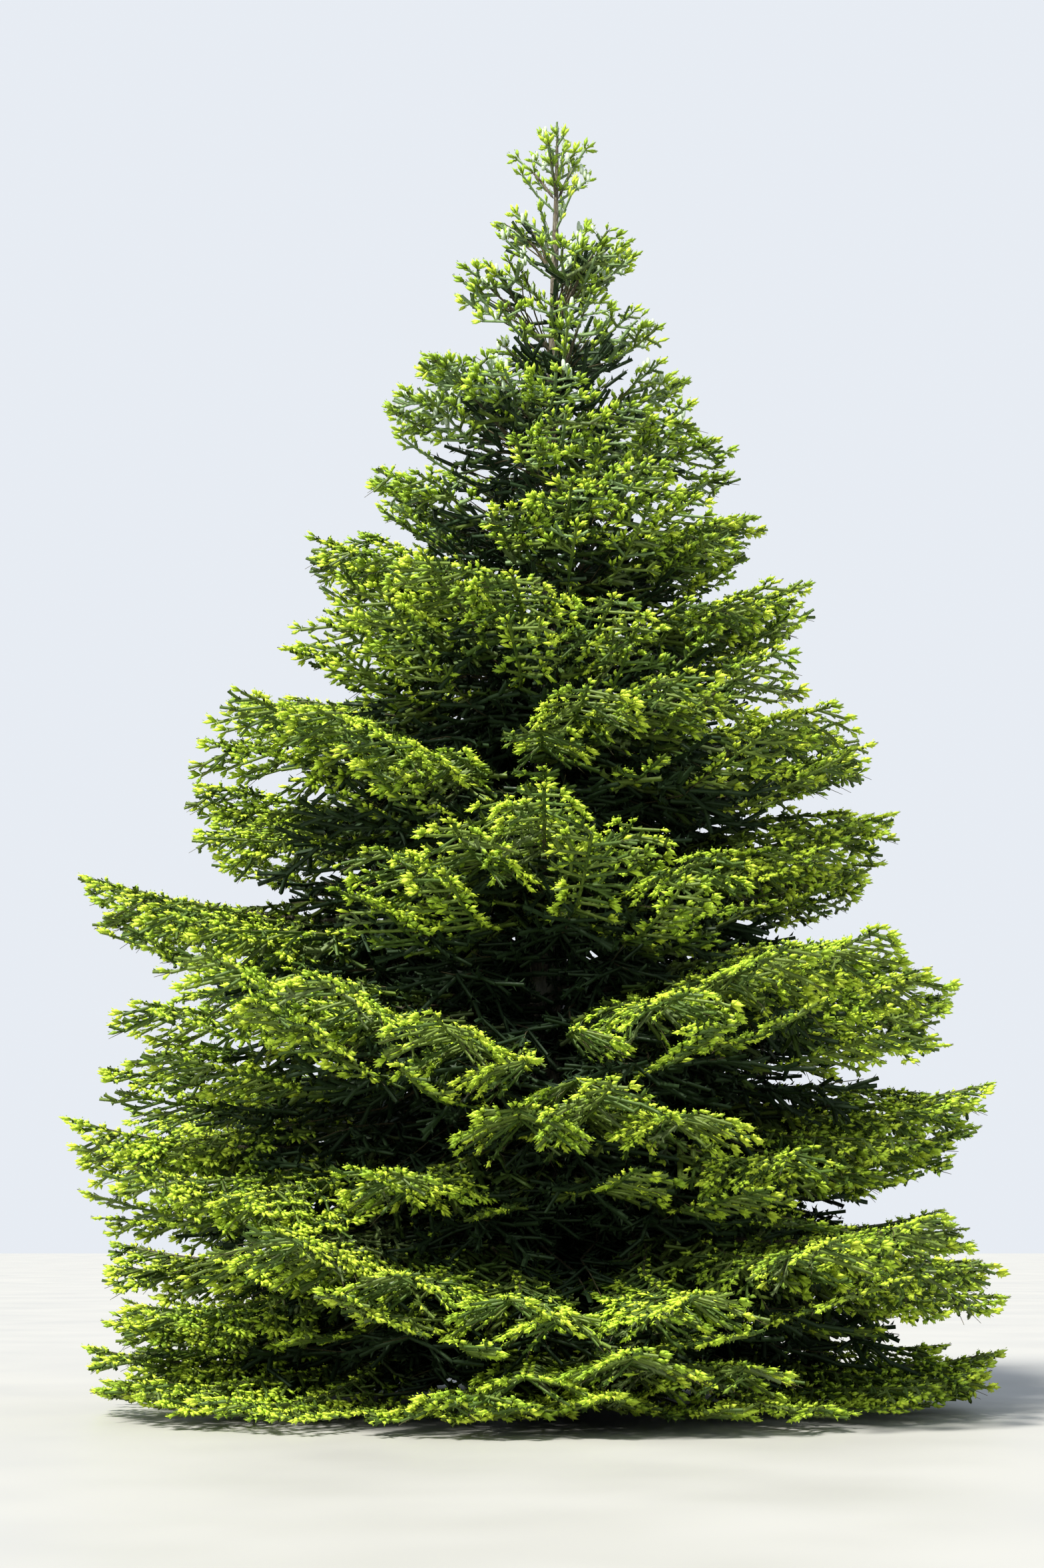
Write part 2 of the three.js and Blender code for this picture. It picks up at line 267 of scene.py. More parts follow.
class Wiring:
    """Adds nodes to one node tree and links them."""

    def __init__(self, tree: bpy.types.NodeTree) -> None:
        """Keeps the tree that is wired."""
        self.tree = tree

    def add(self, kind: str, inputs: dict | None = None, **settings: object) -> bpy.types.Node:
        """Adds a node.

        Args:
            kind: Its Blender type, such as ShaderNodeMix.
            inputs: Values or sockets for its inputs, by name or number.
            **settings: Values of the node's own properties.

        Returns:
            The new node.
        """
        node = self.tree.nodes.new(kind)
        for name, value in settings.items():
            setattr(node, name, value)
        for key, value in (inputs or {}).items():
            if isinstance(value, bpy.types.NodeSocket):
                self.tree.links.new(value, node.inputs[key])
            else:
                node.inputs[key].default_value = value
        return node

    def mix(self, share: object, first: object, second: object) -> bpy.types.NodeSocket:
        """The socket of a colour mixed from two, by the share of the second."""
        node = self.add("ShaderNodeMix", {0: share, 6: first, 7: second}, data_type="RGBA")
        return node.outputs[2]


class ShaderGroups:
    """The node groups that several finishes share, each built once."""

    OUTPUTS = {"Colour": "NodeSocketColor", "Roughness": "NodeSocketFloat", "Height": "NodeSocketFloat"}

    @classmethod
    def start(cls, name: str, inputs: dict) -> Wiring:
        """Starts a group with its sockets.

        Args:
            name: The group's name.
            inputs: Default value of each input; a row of four is a colour.

        Returns:
            The wiring for the empty group.
        """
        tree = bpy.data.node_groups.new(name, "ShaderNodeTree")
        for label, value in inputs.items():
            kind = "NodeSocketColor" if isinstance(value, tuple) else "NodeSocketFloat"
            socket = tree.interface.new_socket(label, in_out="INPUT", socket_type=kind)
            socket.default_value = value
        for label, kind in cls.OUTPUTS.items():
            tree.interface.new_socket(label, in_out="OUTPUT", socket_type=kind)
        return Wiring(tree)

    @classmethod
    @cache
    def mottle(cls) -> bpy.types.NodeTree:
        """Broad patches and fine flecks between two colours, for needles, cones and the floor.

        Returns:
            The group, with a colour, a roughness and a height.
        """
        inputs = {"Deep": (0.0, 0.0, 0.0, 1.0), "Pale": (1.0, 1.0, 1.0, 1.0), "Patch": 1.4,
                  "Fleck": 60.0, "Smooth": 0.4, "Rough": 0.6}
        wiring = cls.start("mottle", inputs)
        given = wiring.add("NodeGroupInput").outputs
        place = wiring.add("ShaderNodeTexCoord").outputs["Object"]
        patch = wiring.add("ShaderNodeTexNoise", {"Vector": place, "Scale": given["Patch"], "Detail": 3.0})
        fleck = wiring.add("ShaderNodeTexNoise", {"Vector": place, "Scale": given["Fleck"], "Detail": 2.0})
        both = wiring.add("ShaderNodeMath", {0: patch.outputs[0], 1: fleck.outputs[0]}, operation="ADD")
        share = wiring.add("ShaderNodeMapRange", {0: both.outputs[0], 1: 0.72, 2: 1.28})
        colour = wiring.mix(share.outputs[0], given["Deep"], given["Pale"])
        rough = wiring.add("ShaderNodeMapRange", {0: fleck.outputs[0], 1: 0.3, 2: 0.7, 3: given["Smooth"],
                                                  4: given["Rough"]})
        wiring.add("NodeGroupOutput", {"Colour": colour, "Roughness": rough.outputs[0],
                                       "Height": fleck.outputs[0]})
        return wiring.tree

    @classmethod
    @cache
    def furrows(cls) -> bpy.types.NodeTree:
        """Grey plates between darker cracks that run along the wood, for trunk and boughs.

        Returns:
            The group, with a colour, a roughness and a height.
        """
        inputs = {"Crack": (0.0, 0.0, 0.0, 1.0), "Plate": (1.0, 1.0, 1.0, 1.0),
                  "Lichen": (1.0, 1.0, 1.0, 1.0), "Scale": 20.0, "Stretch": 0.3}
        wiring = cls.start("furrows", inputs)
        given = wiring.add("NodeGroupInput").outputs
        place = wiring.add("ShaderNodeTexCoord").outputs["Object"]
        long = wiring.add("ShaderNodeCombineXYZ", {0: 1.0, 1: 1.0, 2: given["Stretch"]})
        along = wiring.add("ShaderNodeVectorMath", {0: place, 1: long.outputs[0]}, operation="MULTIPLY")
        plates = wiring.add("ShaderNodeTexVoronoi", {"Vector": along.outputs[0], "Scale": given["Scale"]},
                            feature="DISTANCE_TO_EDGE")
        grain = wiring.add("ShaderNodeTexNoise", {"Vector": along.outputs[0], "Scale": 90.0, "Detail": 5.0})
        edge = wiring.add("ShaderNodeMapRange", {0: plates.outputs["Distance"], 1: 0.0, 2: 0.16})
        body = wiring.add("ShaderNodeMath", {0: edge.outputs[0], 1: grain.outputs[0]}, operation="MULTIPLY")
        wood = wiring.mix(body.outputs[0], given["Crack"], given["Plate"])
        moss = wiring.add("ShaderNodeTexNoise", {"Vector": place, "Scale": 4.0, "Detail": 4.0})
        spots = wiring.add("ShaderNodeMapRange", {0: moss.outputs[0], 1: 0.55, 2: 0.7, 4: 0.6})
        colour = wiring.mix(spots.outputs[0], wood, given["Lichen"])
        rough = wiring.add("ShaderNodeMapRange", {0: grain.outputs[0], 3: 0.75, 4: 0.98})
        wiring.add("NodeGroupOutput", {"Colour": colour, "Roughness": rough.outputs[0],
                                       "Height": body.outputs[0]})
        return wiring.tree


def dressed(name: str, group: bpy.types.NodeTree, values: dict, bump: float,
            specular: float = 0.5) -> bpy.types.Material:
    """A material whose colour, roughness and bump come from a group.

    Args:
        name: The material's name.
        group: The group with the outputs Colour, Roughness and Height.
        values: What the group's inputs are set to.
        bump: How deep the bump is, in metres.
        specular: How much the surface reflects.

    Returns:
        The material.
    """
    material = bpy.data.materials.new(name)
    material.use_nodes = True
    wiring = Wiring(material.node_tree)
    shader = material.node_tree.nodes["Principled BSDF"]
    pattern = wiring.add("ShaderNodeGroup", node_tree=group)
    for label, value in values.items():
        pattern.inputs[label].default_value = value
    relief = wiring.add("ShaderNodeBump", {"Height": pattern.outputs["Height"], "Distance": bump})
    links = material.node_tree.links
    links.new(pattern.outputs["Colour"], shader.inputs["Base Color"])
    links.new(pattern.outputs["Roughness"], shader.inputs["Roughness"])
    links.new(relief.outputs[0], shader.inputs["Normal"])
    shader.inputs["Specular IOR Level"].default_value = specular
    material.diffuse_color = (*next(iter(values.values()))[:3], 1.0)
    return material


@dataclass(frozen=True)
class NeedleFinish:
    """Needles or cones of one age in one light: a plain colour with a little life in it."""

    label: str
    colour: Colour
    spread: float = 0.22
    smooth: float = 0.38
    rough: float = 0.62
    specular: float = 0.2
    patch: float = 0.9
    fleck: float = 55.0
    bump: float = 0.002

    def material(self) -> bpy.types.Material:
        """Makes the finish a material.

        Returns:
            The material.
        """
        deep = tuple(value * (1 - self.spread) for value in self.colour) + (1.0,)
        pale = tuple(min(value * (1 + self.spread), 1.0) for value in self.colour) + (1.0,)
        values = {"Deep": deep, "Pale": pale, "Patch": self.patch, "Fleck": self.fleck,
                  "Smooth": self.smooth, "Rough": self.rough}
        return dressed(self.label, ShaderGroups.mottle(), values, self.bump, self.specular)


@dataclass(frozen=True)
class BarkFinish:
    """Bark with plates, cracks and pale lichen."""

    label: str
    crack: Colour
    plate: Colour
    lichen: Colour
    scale: float
    specular: float = 0.2
    bump: float = 0.006

    def material(self) -> bpy.types.Material:
        """Makes the finish a material.

        Returns:
            The material.
        """
        values = {"Crack": (*self.crack, 1.0), "Plate": (*self.plate, 1.0), "Lichen": (*self.lichen, 1.0),
                  "Scale": self.scale}
        return dressed(self.label, ShaderGroups.furrows(), values, self.bump, self.specular)


class Age(Enum):
    """What a brush of needles is: this spring's growth, a twig of the years before, or one in the dark."""

    NEW = "new"
    OLD = "old"
    INSIDE = "inside"


class Tint(Enum):
    """The colours of needles, each dealt out spray by spray. Sunny and shaded growth are lit and shaded
    copies of the new needles, painted light and shade, and the near-black inner needles are painted shade;
    the others are the needles' own tones.
    """

    # Painted light: a brighter, yellower lit copy of the new growth
    SUNNY = NeedleFinish("sunny_growth", (0.57, 0.72, 0.058))
    LIME = NeedleFinish("lime_growth", (0.47, 0.65, 0.05))
    FRESH = NeedleFinish("fresh_growth", (0.29, 0.44, 0.035))
    # Painted shade: a darker shaded copy of the new growth
    SHADED = NeedleFinish("shaded_growth", (0.2, 0.31, 0.035))
    GREEN = NeedleFinish("green_needles", (0.125, 0.182, 0.032))
    DEEP = NeedleFinish("deep_needles", (0.073, 0.125, 0.023))
    GREY = NeedleFinish("grey_needles", (0.17, 0.255, 0.1))
    DULL = NeedleFinish("dull_needles", (0.12, 0.165, 0.055))
    # Painted shade: near-black needles for the dark inside of the crown
    INNER = NeedleFinish("inner_needles", (0.024, 0.046, 0.018))


# Which tints a spray takes, by how far it is from the light: 0 on top, 2 under its bough. Painted shade:
# the further from the light, the darker the tints, down to near-black inside the crown.
NEW_TINTS = (
    {Tint.SUNNY: 0.38, Tint.LIME: 0.45, Tint.FRESH: 0.17},
    {Tint.SUNNY: 0.1, Tint.LIME: 0.4, Tint.FRESH: 0.4, Tint.SHADED: 0.1},
    {Tint.FRESH: 0.4, Tint.SHADED: 0.6},
)
OLD_TINTS = (
    {Tint.GREEN: 0.65, Tint.DEEP: 0.35},
    {Tint.GREEN: 0.25, Tint.DEEP: 0.6, Tint.DULL: 0.15},
    {Tint.INNER: 1.0},
)
HIGH_NEW_TINTS = {Tint.SUNNY: 0.02, Tint.LIME: 0.26, Tint.FRESH: 0.72}
HIGH_OLD_TINTS = {Tint.GREY: 0.8, Tint.GREEN: 0.2}


# The tree's rule, as in the part's source


@dataclass(frozen=True)
class Turn:
    """One turn of the spiral of boughs.

    first is the direction of its first bough, root and tip are heights, clad is where along a bough
    the foliage starts, above and below are the depths of its layer, droop is how far the layer
    falls off to the sides, and climb how much of the way to the next turn its boughs rise.
    """

    first: float
    root: float
    tip: float
    boughs: int
    clad: float
    above: float
    below: float
    droop: float
    climb: float = 1.0


TURNS = (
    Turn(-10, 1.0, 0.6, 5, 0.36, 0.52, 0.56, 20, 0.15),
    Turn(170, 1.85, 1.55, 5, 0.36, 0.48, 0.78, 28, 0.45),
    Turn(206, 2.8, 2.65, 5, 0.32, 0.48, 0.78, 30, 0.8),
    Turn(231, 3.75, 3.9, 5, 0.3, 0.5, 0.78, 30),
    Turn(267, 4.8, 5.3, 5, 0.26, 0.5, 0.78, 28),
    Turn(303, 5.9, 6.75, 4, 0.24, 0.46, 0.76, 26),
    Turn(348, 6.95, 7.95, 4, 0.24, 0.44, 0.74, 24),
    Turn(33, 7.9, 8.9, 3, 0.22, 0.42, 0.64, 20),
    Turn(93, 8.75, 9.75, 3, 0.22, 0.4, 0.58, 16),
    Turn(153, 9.6, 10.5, 3, 0.22, 0.38, 0.54, 12),
    Turn(213, 10.45, 11.25, 4, 0.22, 0.34, 0.48, 6, 0.7),
    Turn(25, 12.15, 12.85, 3, 0.22, 0.3, 0.42, -6, 0.0),
)


@dataclass
class Trunk:
    """The stem of the tree: its girth, its root flare and the slight sway of its axis."""

    height: float = 13.0
    radius: float = 0.205
    tip_radius: float = 0.008
    taper: float = 0.92
    flare: float = 0.135
    flare_height: float = 0.33
    lobes: int = 5
    lobe_depth: float = 0.13
    sway: float = 0.055
    weave: tuple[float, float] = (4.2, -0.9)
    lean: float = 1.1
    side_weave: tuple[float, float] = (3.1, 0.7)
    foot: float = 0.004
    sides: int = 30
    rings: int = 46
    crowding: float = 1.5
    relief: BarkRelief = BarkRelief(grain=0.035, stretch=3.5, depth=0.016)
    finish: BarkFinish = BarkFinish(
        "bark", (0.07, 0.058, 0.042), (0.26, 0.23, 0.17), (0.32, 0.34, 0.25), 26.0)

    def axis(self, height: float) -> tuple[float, float]:
        """Where the middle of the trunk is at a height.

        Args:
            height: Height above the ground.

        Returns:
            x and y.
        """
        share = height / self.height
        (turns, swing), (side_turns, side_swing) = self.weave, self.side_weave
        along = math.sin(share * turns) * swing + share * share * self.lean
        return self.sway * along, self.sway * math.sin(share * side_turns) * side_swing

    def girth(self, height: float) -> float:
        """The trunk's radius at a height, without its lobes.

        Args:
            height: Height above the ground.

        Returns:
            The radius.
        """
        share = clamp(height / self.height)
        shaft = self.tip_radius + (self.radius - self.tip_radius) * (1 - share) ** self.taper
        return shaft + self.flare * math.exp(-height / self.flare_height)

    def build(self) -> bpy.types.Object:
        """Builds the trunk with its lobes and its bark.

        Returns:
            The finished piece.
        """
        heights = [self.height * (i / self.rings) ** self.crowding for i in range(self.rings + 1)]
        points = [Vector((*self.axis(height), height)) for height in heights]
        radii = [self.girth(height) for height in heights]
        stem = Limb("trunk_bark", points, radii, self.sides).build()
        self.raise_lobes(stem)
        self.relief.press(stem)
        self.level_foot(stem)
        stem.data.materials.append(self.finish.material())
        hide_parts("trunk")
        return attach(stem, "root")

    def raise_lobes(self, stem: bpy.types.Object) -> None:
        """Pushes the root flare out into lobes, by a weight that fades with height.

        Args:
            stem: The round trunk.
        """
        group = stem.vertex_groups.new(name="lobes")
        for vertex in stem.data.vertices:
            angle = math.atan2(vertex.co.y, vertex.co.x)
            fade = math.exp(-max(vertex.co.z, 0.0) / self.flare_height)
            group.add([vertex.index], fade * (0.5 + 0.5 * math.cos(self.lobes * angle)), "REPLACE")
        choose(stem)
        swell = stem.modifiers.new("lobes", "DISPLACE")
        swell.vertex_group = group.name
        swell.mid_level = 0.0
        swell.strength = self.lobe_depth * (self.radius + self.flare)
        bpy.ops.object.modifier_apply(modifier=swell.name)
        stem.vertex_groups.clear()

    def level_foot(self, stem: bpy.types.Object) -> None:
        """Cuts the foot flat at the ground.

        Args:
            stem: The trunk with its bark.
        """
        choose(stem)
        with editing():
            bpy.ops.mesh.bisect(plane_co=(0, 0, self.foot), plane_no=UP, clear_inner=True, use_fill=True)
            face_outward()


# Outline of the crown at the tips of the boughs: height, reach to the left, reach to the right
OUTLINE = (
    (0.0, 4.2, 4.0), (0.8, 4.3, 4.3), (3.1, 4.58, 4.25), (5.0, 4.53, 3.75), (5.8, 3.75, 3.25),
    (6.7, 3.42, 3.12), (7.6, 3.05, 2.84), (9.1, 1.9, 1.98), (10.3, 1.5, 1.48), (11.3, 0.93, 1.1),
    (11.9, 0.72, 0.86), (13.0, 0.47, 0.47),
)


@dataclass
class Bough:
    """One bough and the space that its foliage keeps to."""

    trunk: Trunk
    turn: Turn
    level: int
    number: int
    azimuth: float
    sector: float
    root: float
    tip: float
    reach: float
    seed: int
    crown: "Crown"

    SAG = 0.035
    TIP_CURL = 0.05
    RISE = 1.7
    INSET = 0.6
    ROOT_RADIUS = 0.062
    TIP_RADIUS = 0.015
    TAPER = 0.8
    ROOF = 0.75
    LAYER_EDGE = 0.1
    INTERLOCK = 1.12
    POINTED = 0.08
    OFF_GROUND = 0.1
    OFF_TRUNK = 0.02
    FOLD = 0.5
    TAPER_FROM = 0.5
    TAPERED_ABOVE = 0.25
    TAPERED_BELOW = 0.5

    @property
    def label(self) -> str:
        """The bough's place in the tree, as its nodes are named."""
        return f"{self.level + 1}_{self.number + 1}"

    @property
    def is_leader(self) -> bool:
        """True for the sparse boughs round the leader."""
        return self.level == len(TURNS) - 1

    def point(self, share: float, swing: float = 0.0, lift: float = 0.0) -> Vector:
        """A point on the bough's centre line.

        Args:
            share: 0 in the trunk, 1 at the furthest tip.
            swing: How far the point is moved round the trunk.
            lift: How far it is raised.

        Returns:
            The point.
        """
        start = self.trunk.girth(self.root) * self.INSET
        distance = start + (self.reach - start) * share
        rise = (self.tip - self.root) * (1 - max(1 - share, 0.0) ** self.RISE)
        bend = -self.reach * self.SAG * math.sin(math.pi * share)
        curl = self.reach * self.TIP_CURL * (share**5 - share)
        x, y = self.trunk.axis(self.root)
        angle = self.azimuth + swing
        return Vector((
            x * (1 - share) + distance * math.cos(angle),
            y * (1 - share) + distance * math.sin(angle),
            self.root + rise + bend + curl + lift,
        ))

    def radius(self, share: float) -> float:
        """The bough's radius."""
        scale = math.sqrt(self.reach / OUTLINE[0][1])
        return scale * lerp(self.ROOT_RADIUS, self.TIP_RADIUS, share**self.TAPER)

    def slope(self, distance: float, swing: float) -> float:
        """How much lower the middle of the layer is beside the bough."""
        return abs(math.sin(swing)) * distance * math.tan(math.radians(self.turn.droop)) * self.FOLD

    def middle(self, distance: float, swing: float) -> float:
        """The height of the middle of the layer, so far out and so far round."""
        return self.point(clamp(distance / self.reach)).z - self.slope(distance, swing)

    def polar(self, point: Vector) -> tuple[float, float, float]:
        """How far out a point is, in which direction, and how far round from the bough that is."""
        azimuth = math.atan2(point.y, point.x)
        return math.hypot(point.x, point.y), azimuth, abs(math.remainder(azimuth - self.azimuth, math.tau))

    def depth(self, share: float, above: bool) -> float:
        """How deep the bough's layer is above or below its middle.

        Args:
            share: How far out, as a share of the reach; near the tip sky shows between the layers.
            above: Whether the upper half is asked for.

        Returns:
            The depth.
        """
        depth = self.turn.above if above else self.turn.below
        tapered = self.TAPERED_ABOVE if above else self.TAPERED_BELOW
        return depth * lerp(1.0, tapered, clamp((share - self.TAPER_FROM) / (1 - self.TAPER_FROM)))

    def holds(self, point: Vector) -> bool:
        """Keeps foliage to the sector and the layer of the bough.

        Args:
            point: A point.

        Returns:
            Whether foliage of this bough may be there.
        """
        if point.z < self.OFF_GROUND:
            return False
        distance, azimuth, swing = self.polar(point)
        if swing > self.sector * self.INTERLOCK or distance > self.crown.reach(point.z, azimuth):
            return False
        if distance > self.reach * (1 - self.POINTED * (swing / self.sector) ** 2):
            return False
        middle = self.middle(distance, swing)
        aside = min(swing / self.sector, 1.0)
        share = distance / self.reach
        top = middle + self.depth(share, True) * (1 - self.ROOF * aside**2)
        if not middle - self.depth(share, False) * (1 - self.LAYER_EDGE * aside) < point.z < top:
            return False
        return distance > self.trunk.girth(point.z) + self.OFF_TRUNK


@dataclass
class Crown:
    """All boughs of the tree, from the lowest one up."""

    trunk: Trunk
    seed: int = 7
    diagonal: float = 0.12
    turn_jitter: float = 4.0
    height_jitter: float = 0.045

    def reach(self, height: float, azimuth: float) -> float:
        """How far a bough reaches.

        Args:
            height: The height of its tip.
            azimuth: The direction that it points in.

        Returns:
            The distance of its tip from the trunk.
        """
        above = next((i for i, row in enumerate(OUTLINE) if row[0] > height), len(OUTLINE) - 1)
        low, high = OUTLINE[max(above, 1) - 1], OUTLINE[max(above, 1)]
        share = clamp((height - low[0]) / (high[0] - low[0]))
        left, right = lerp(low[1], high[1], share), lerp(low[2], high[2], share)
        diagonal = 1 + self.diagonal * math.sin(2 * azimuth) ** 2
        return diagonal * ((left + right) / 2 + ((right - left) / 2) * math.cos(azimuth))

    def boughs(self) -> list[Bough]:
        """Works out every bough.

        Returns:
            The boughs, by turn and number.
        """
        random, made = Seeded(self.seed), []
        for level, turn in enumerate(TURNS):
            above = TURNS[min(level + 1, len(TURNS) - 1)]
            step = (360 / turn.boughs) * (1 if turn.climb < 1 else 1 + 0.5 / turn.boughs)
            sector = math.pi / turn.boughs - math.radians(self.turn_jitter)
            for number in range(turn.boughs):
                climbed = turn.climb * number / turn.boughs
                azimuth = math.radians(turn.first + step * number + random.around(self.turn_jitter))
                root = lerp(turn.root, above.root, climbed) + random.around(self.height_jitter)
                tip = lerp(turn.tip, above.tip, climbed) + random.around(self.height_jitter)
                made.append(Bough(
                    self.trunk, turn, level, number, azimuth, sector, root, tip,
                    self.reach(tip, azimuth), self.seed + level * 16 + number, self,
                ))
        return made


@dataclass
class Within:
    """The space close to the trunk under one bough, where only inner twigs grow, dark with painted shade.
    """

    bough: Bough
    reach: float = 0.74
    deeper: float = 1.25
    wider: float = 1.25
    higher: float = 0.05
    off_trunk: float = 0.03

    def holds(self, point: Vector) -> bool:
        """Keeps inner twigs close to the trunk, in and round the layer of their bough.

        Args:
            point: A point.

        Returns:
            Whether one may be there.
        """
        bough = self.bough
        distance, _, swing = bough.polar(point)
        if point.z < bough.OFF_GROUND + self.higher or swing > bough.sector * self.wider:
            return False
        if not bough.trunk.girth(point.z) + self.off_trunk < distance < bough.reach * self.reach:
            return False
        middle = bough.middle(distance, swing)
        return middle - bough.turn.below * self.deeper < point.z < middle + bough.turn.above * self.deeper


@dataclass
class Top:
    """The last stretch of the trunk, which carries short branches of its own.

    Above clad the trunk itself has needles and its branches stand closer, by crowding.
    """

    trunk: Trunk
    first: float = 9.0
    last: float = 12.93
    step: float = 0.09
    crowding: float = 0.6
    longest: float = 0.75
    shortest: float = 0.1
    shortening: int = 5
    coarse: float = 0.85
    rise: float = 34.0
    curl: float = 16.0
    reach: float = 0.8
    slant: float = 0.1
    nod: float = 0.45
    room: float = 0.05
    back: float = 0.02
    clad: float = 12.3
    turn_jitter: float = 0.3
    rise_jitter: float = 5.0
    seed: int = 901

    def holds(self, point: Vector) -> bool:
        """Keeps shoots to the narrow tip of the crown.

        Args:
            point: A point.

        Returns:
            Whether a shoot may be there.
        """
        distance = math.hypot(point.x, point.y)
        top = self.trunk.height - self.slant * distance + self.nod * min(point.y, 0.0)
        return distance < self.reach and point.z < top

    def end(self, bough: Bough, furthest: float) -> float:
        """Shortens a bough of the leader until its last shoots stay below the apex.

        Args:
            bough: The bough.
            furthest: Where it would end, as a share of its reach.

        Returns:
            Where it ends.
        """
        while not self.holds(bough.point(furthest) + UP * self.room):
            furthest -= self.back
        return furthest

    def length(self, height: float) -> float:
        """How long a branch is that stands at a height."""
        share = clamp((height - self.first) / (self.last - self.first))
        return lerp(self.longest, self.shortest, share**self.shortening)


@dataclass
class Limbs:
    """The wood of all boughs, from inside the trunk to close behind their tips."""

    limb_turns: int = 2
    sides: int = 8
    step: float = 0.34
    end: float = 0.97
    slimmer: float = 0.45
    relief: BarkRelief = BarkRelief(grain=0.02, stretch=1.0, depth=0.006)
    # Bark colour with painted shade: darker than the trunk's, so the wood inside the crown reads as shaded
    finish: BarkFinish = BarkFinish(
        "limb_bark", (0.06, 0.05, 0.034), (0.2, 0.17, 0.12), (0.22, 0.22, 0.15), 60.0)

    def build(self, boughs: list[Bough]) -> bpy.types.Object:
        """Builds every bough and joins them.

        Args:
            boughs: The boughs of the tree.

        Returns:
            The finished piece.
        """
        made = [self.one(bough) for bough in boughs]
        choose(*made)
        bpy.ops.object.join()
        wood = bpy.context.object
        wood.name = wood.data.name = "boughs"
        self.relief.press(wood)
        wood.data.materials.clear()
        wood.data.materials.append(self.finish.material())
        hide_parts(*(f"bough_{bough.label}" for bough in boughs if bough.level < self.limb_turns))
        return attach(wood, "root")

    def one(self, bough: Bough) -> bpy.types.Object:
        """One bough as a tapering limb.

        Args:
            bough: The bough.

        Returns:
            Its mesh object.
        """
        end = Top(bough.trunk).end(bough, self.end) if bough.is_leader else self.end
        count = max(3, round(bough.reach * end / self.step))
        shares = [end * i / count for i in range(count + 1)]
        radii = [bough.radius(share) * (1 - self.slimmer * share) for share in shares]
        points = [bough.point(share) for share in shares]
        return Limb(f"limb_{bough.label}", points, radii, self.sides).build()


# Twigs and needles


@dataclass
class TwigWood:
    """The thin wood of the sprays, gathered twig by twig as arrays."""

    # Radii at the foot, what each metre of reach or each unit adds to them, and at the tip
    arm: tuple[float, float, float] = (0.008, 0.003, 0.004)
    branch: tuple[float, float, float] = (0.002, 0.0015, 0.0025)
    sides: int = 3
    finish: BarkFinish = BarkFinish(
        "twig_bark", (0.06, 0.05, 0.025), (0.20, 0.17, 0.09), (0.20, 0.20, 0.10), 90.0)
    parts: list[tuple[np.ndarray, np.ndarray]] = field(default_factory=list)

    def add(self, points: list[Vector], radii: tuple[float, float, float], size: float) -> None:
        """Adds one twig.

        Args:
            points: Its line.
            radii: Its radii, as an arm or as a branch.
            size: The reach of its bough, or its number of units.
        """
        foot, more, tip = radii
        line = np.array([tuple(point) for point in points])
        count, sides = len(line), self.sides
        along = line[-1] - line[0]
        along /= np.linalg.norm(along)
        side = np.cross(along, (0.0, 0.0, 1.0) if abs(along[2]) < 0.9 else (1.0, 0.0, 0.0))
        side /= np.linalg.norm(side)
        over = np.cross(side, along)
        angles = np.arange(sides) * 2 * math.pi / sides
        ring = np.cos(angles)[:, None] * side + np.sin(angles)[:, None] * over
        widths = np.linspace(foot + more * size, tip, count)
        vertices = (line[:, None, :] + ring[None] * widths[:, None, None]).reshape(-1, 3)
        i, j = np.meshgrid(np.arange(count - 1), np.arange(sides), indexing="ij")
        a, b = i * sides + j, i * sides + (j + 1) % sides
        low = np.stack([a, b, b + sides], -1).reshape(-1, 3)
        high = np.stack([a, b + sides, a + sides], -1).reshape(-1, 3)
        self.parts.append((vertices, np.concatenate([low, high])))

    def build(self) -> bpy.types.Object:
        """Joins all twigs.

        Returns:
            The finished piece.
        """
        wood = mesh_object("twigs", *stack(self.parts))
        wood.data.materials.append(self.finish.material())
        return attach(wood, "root")


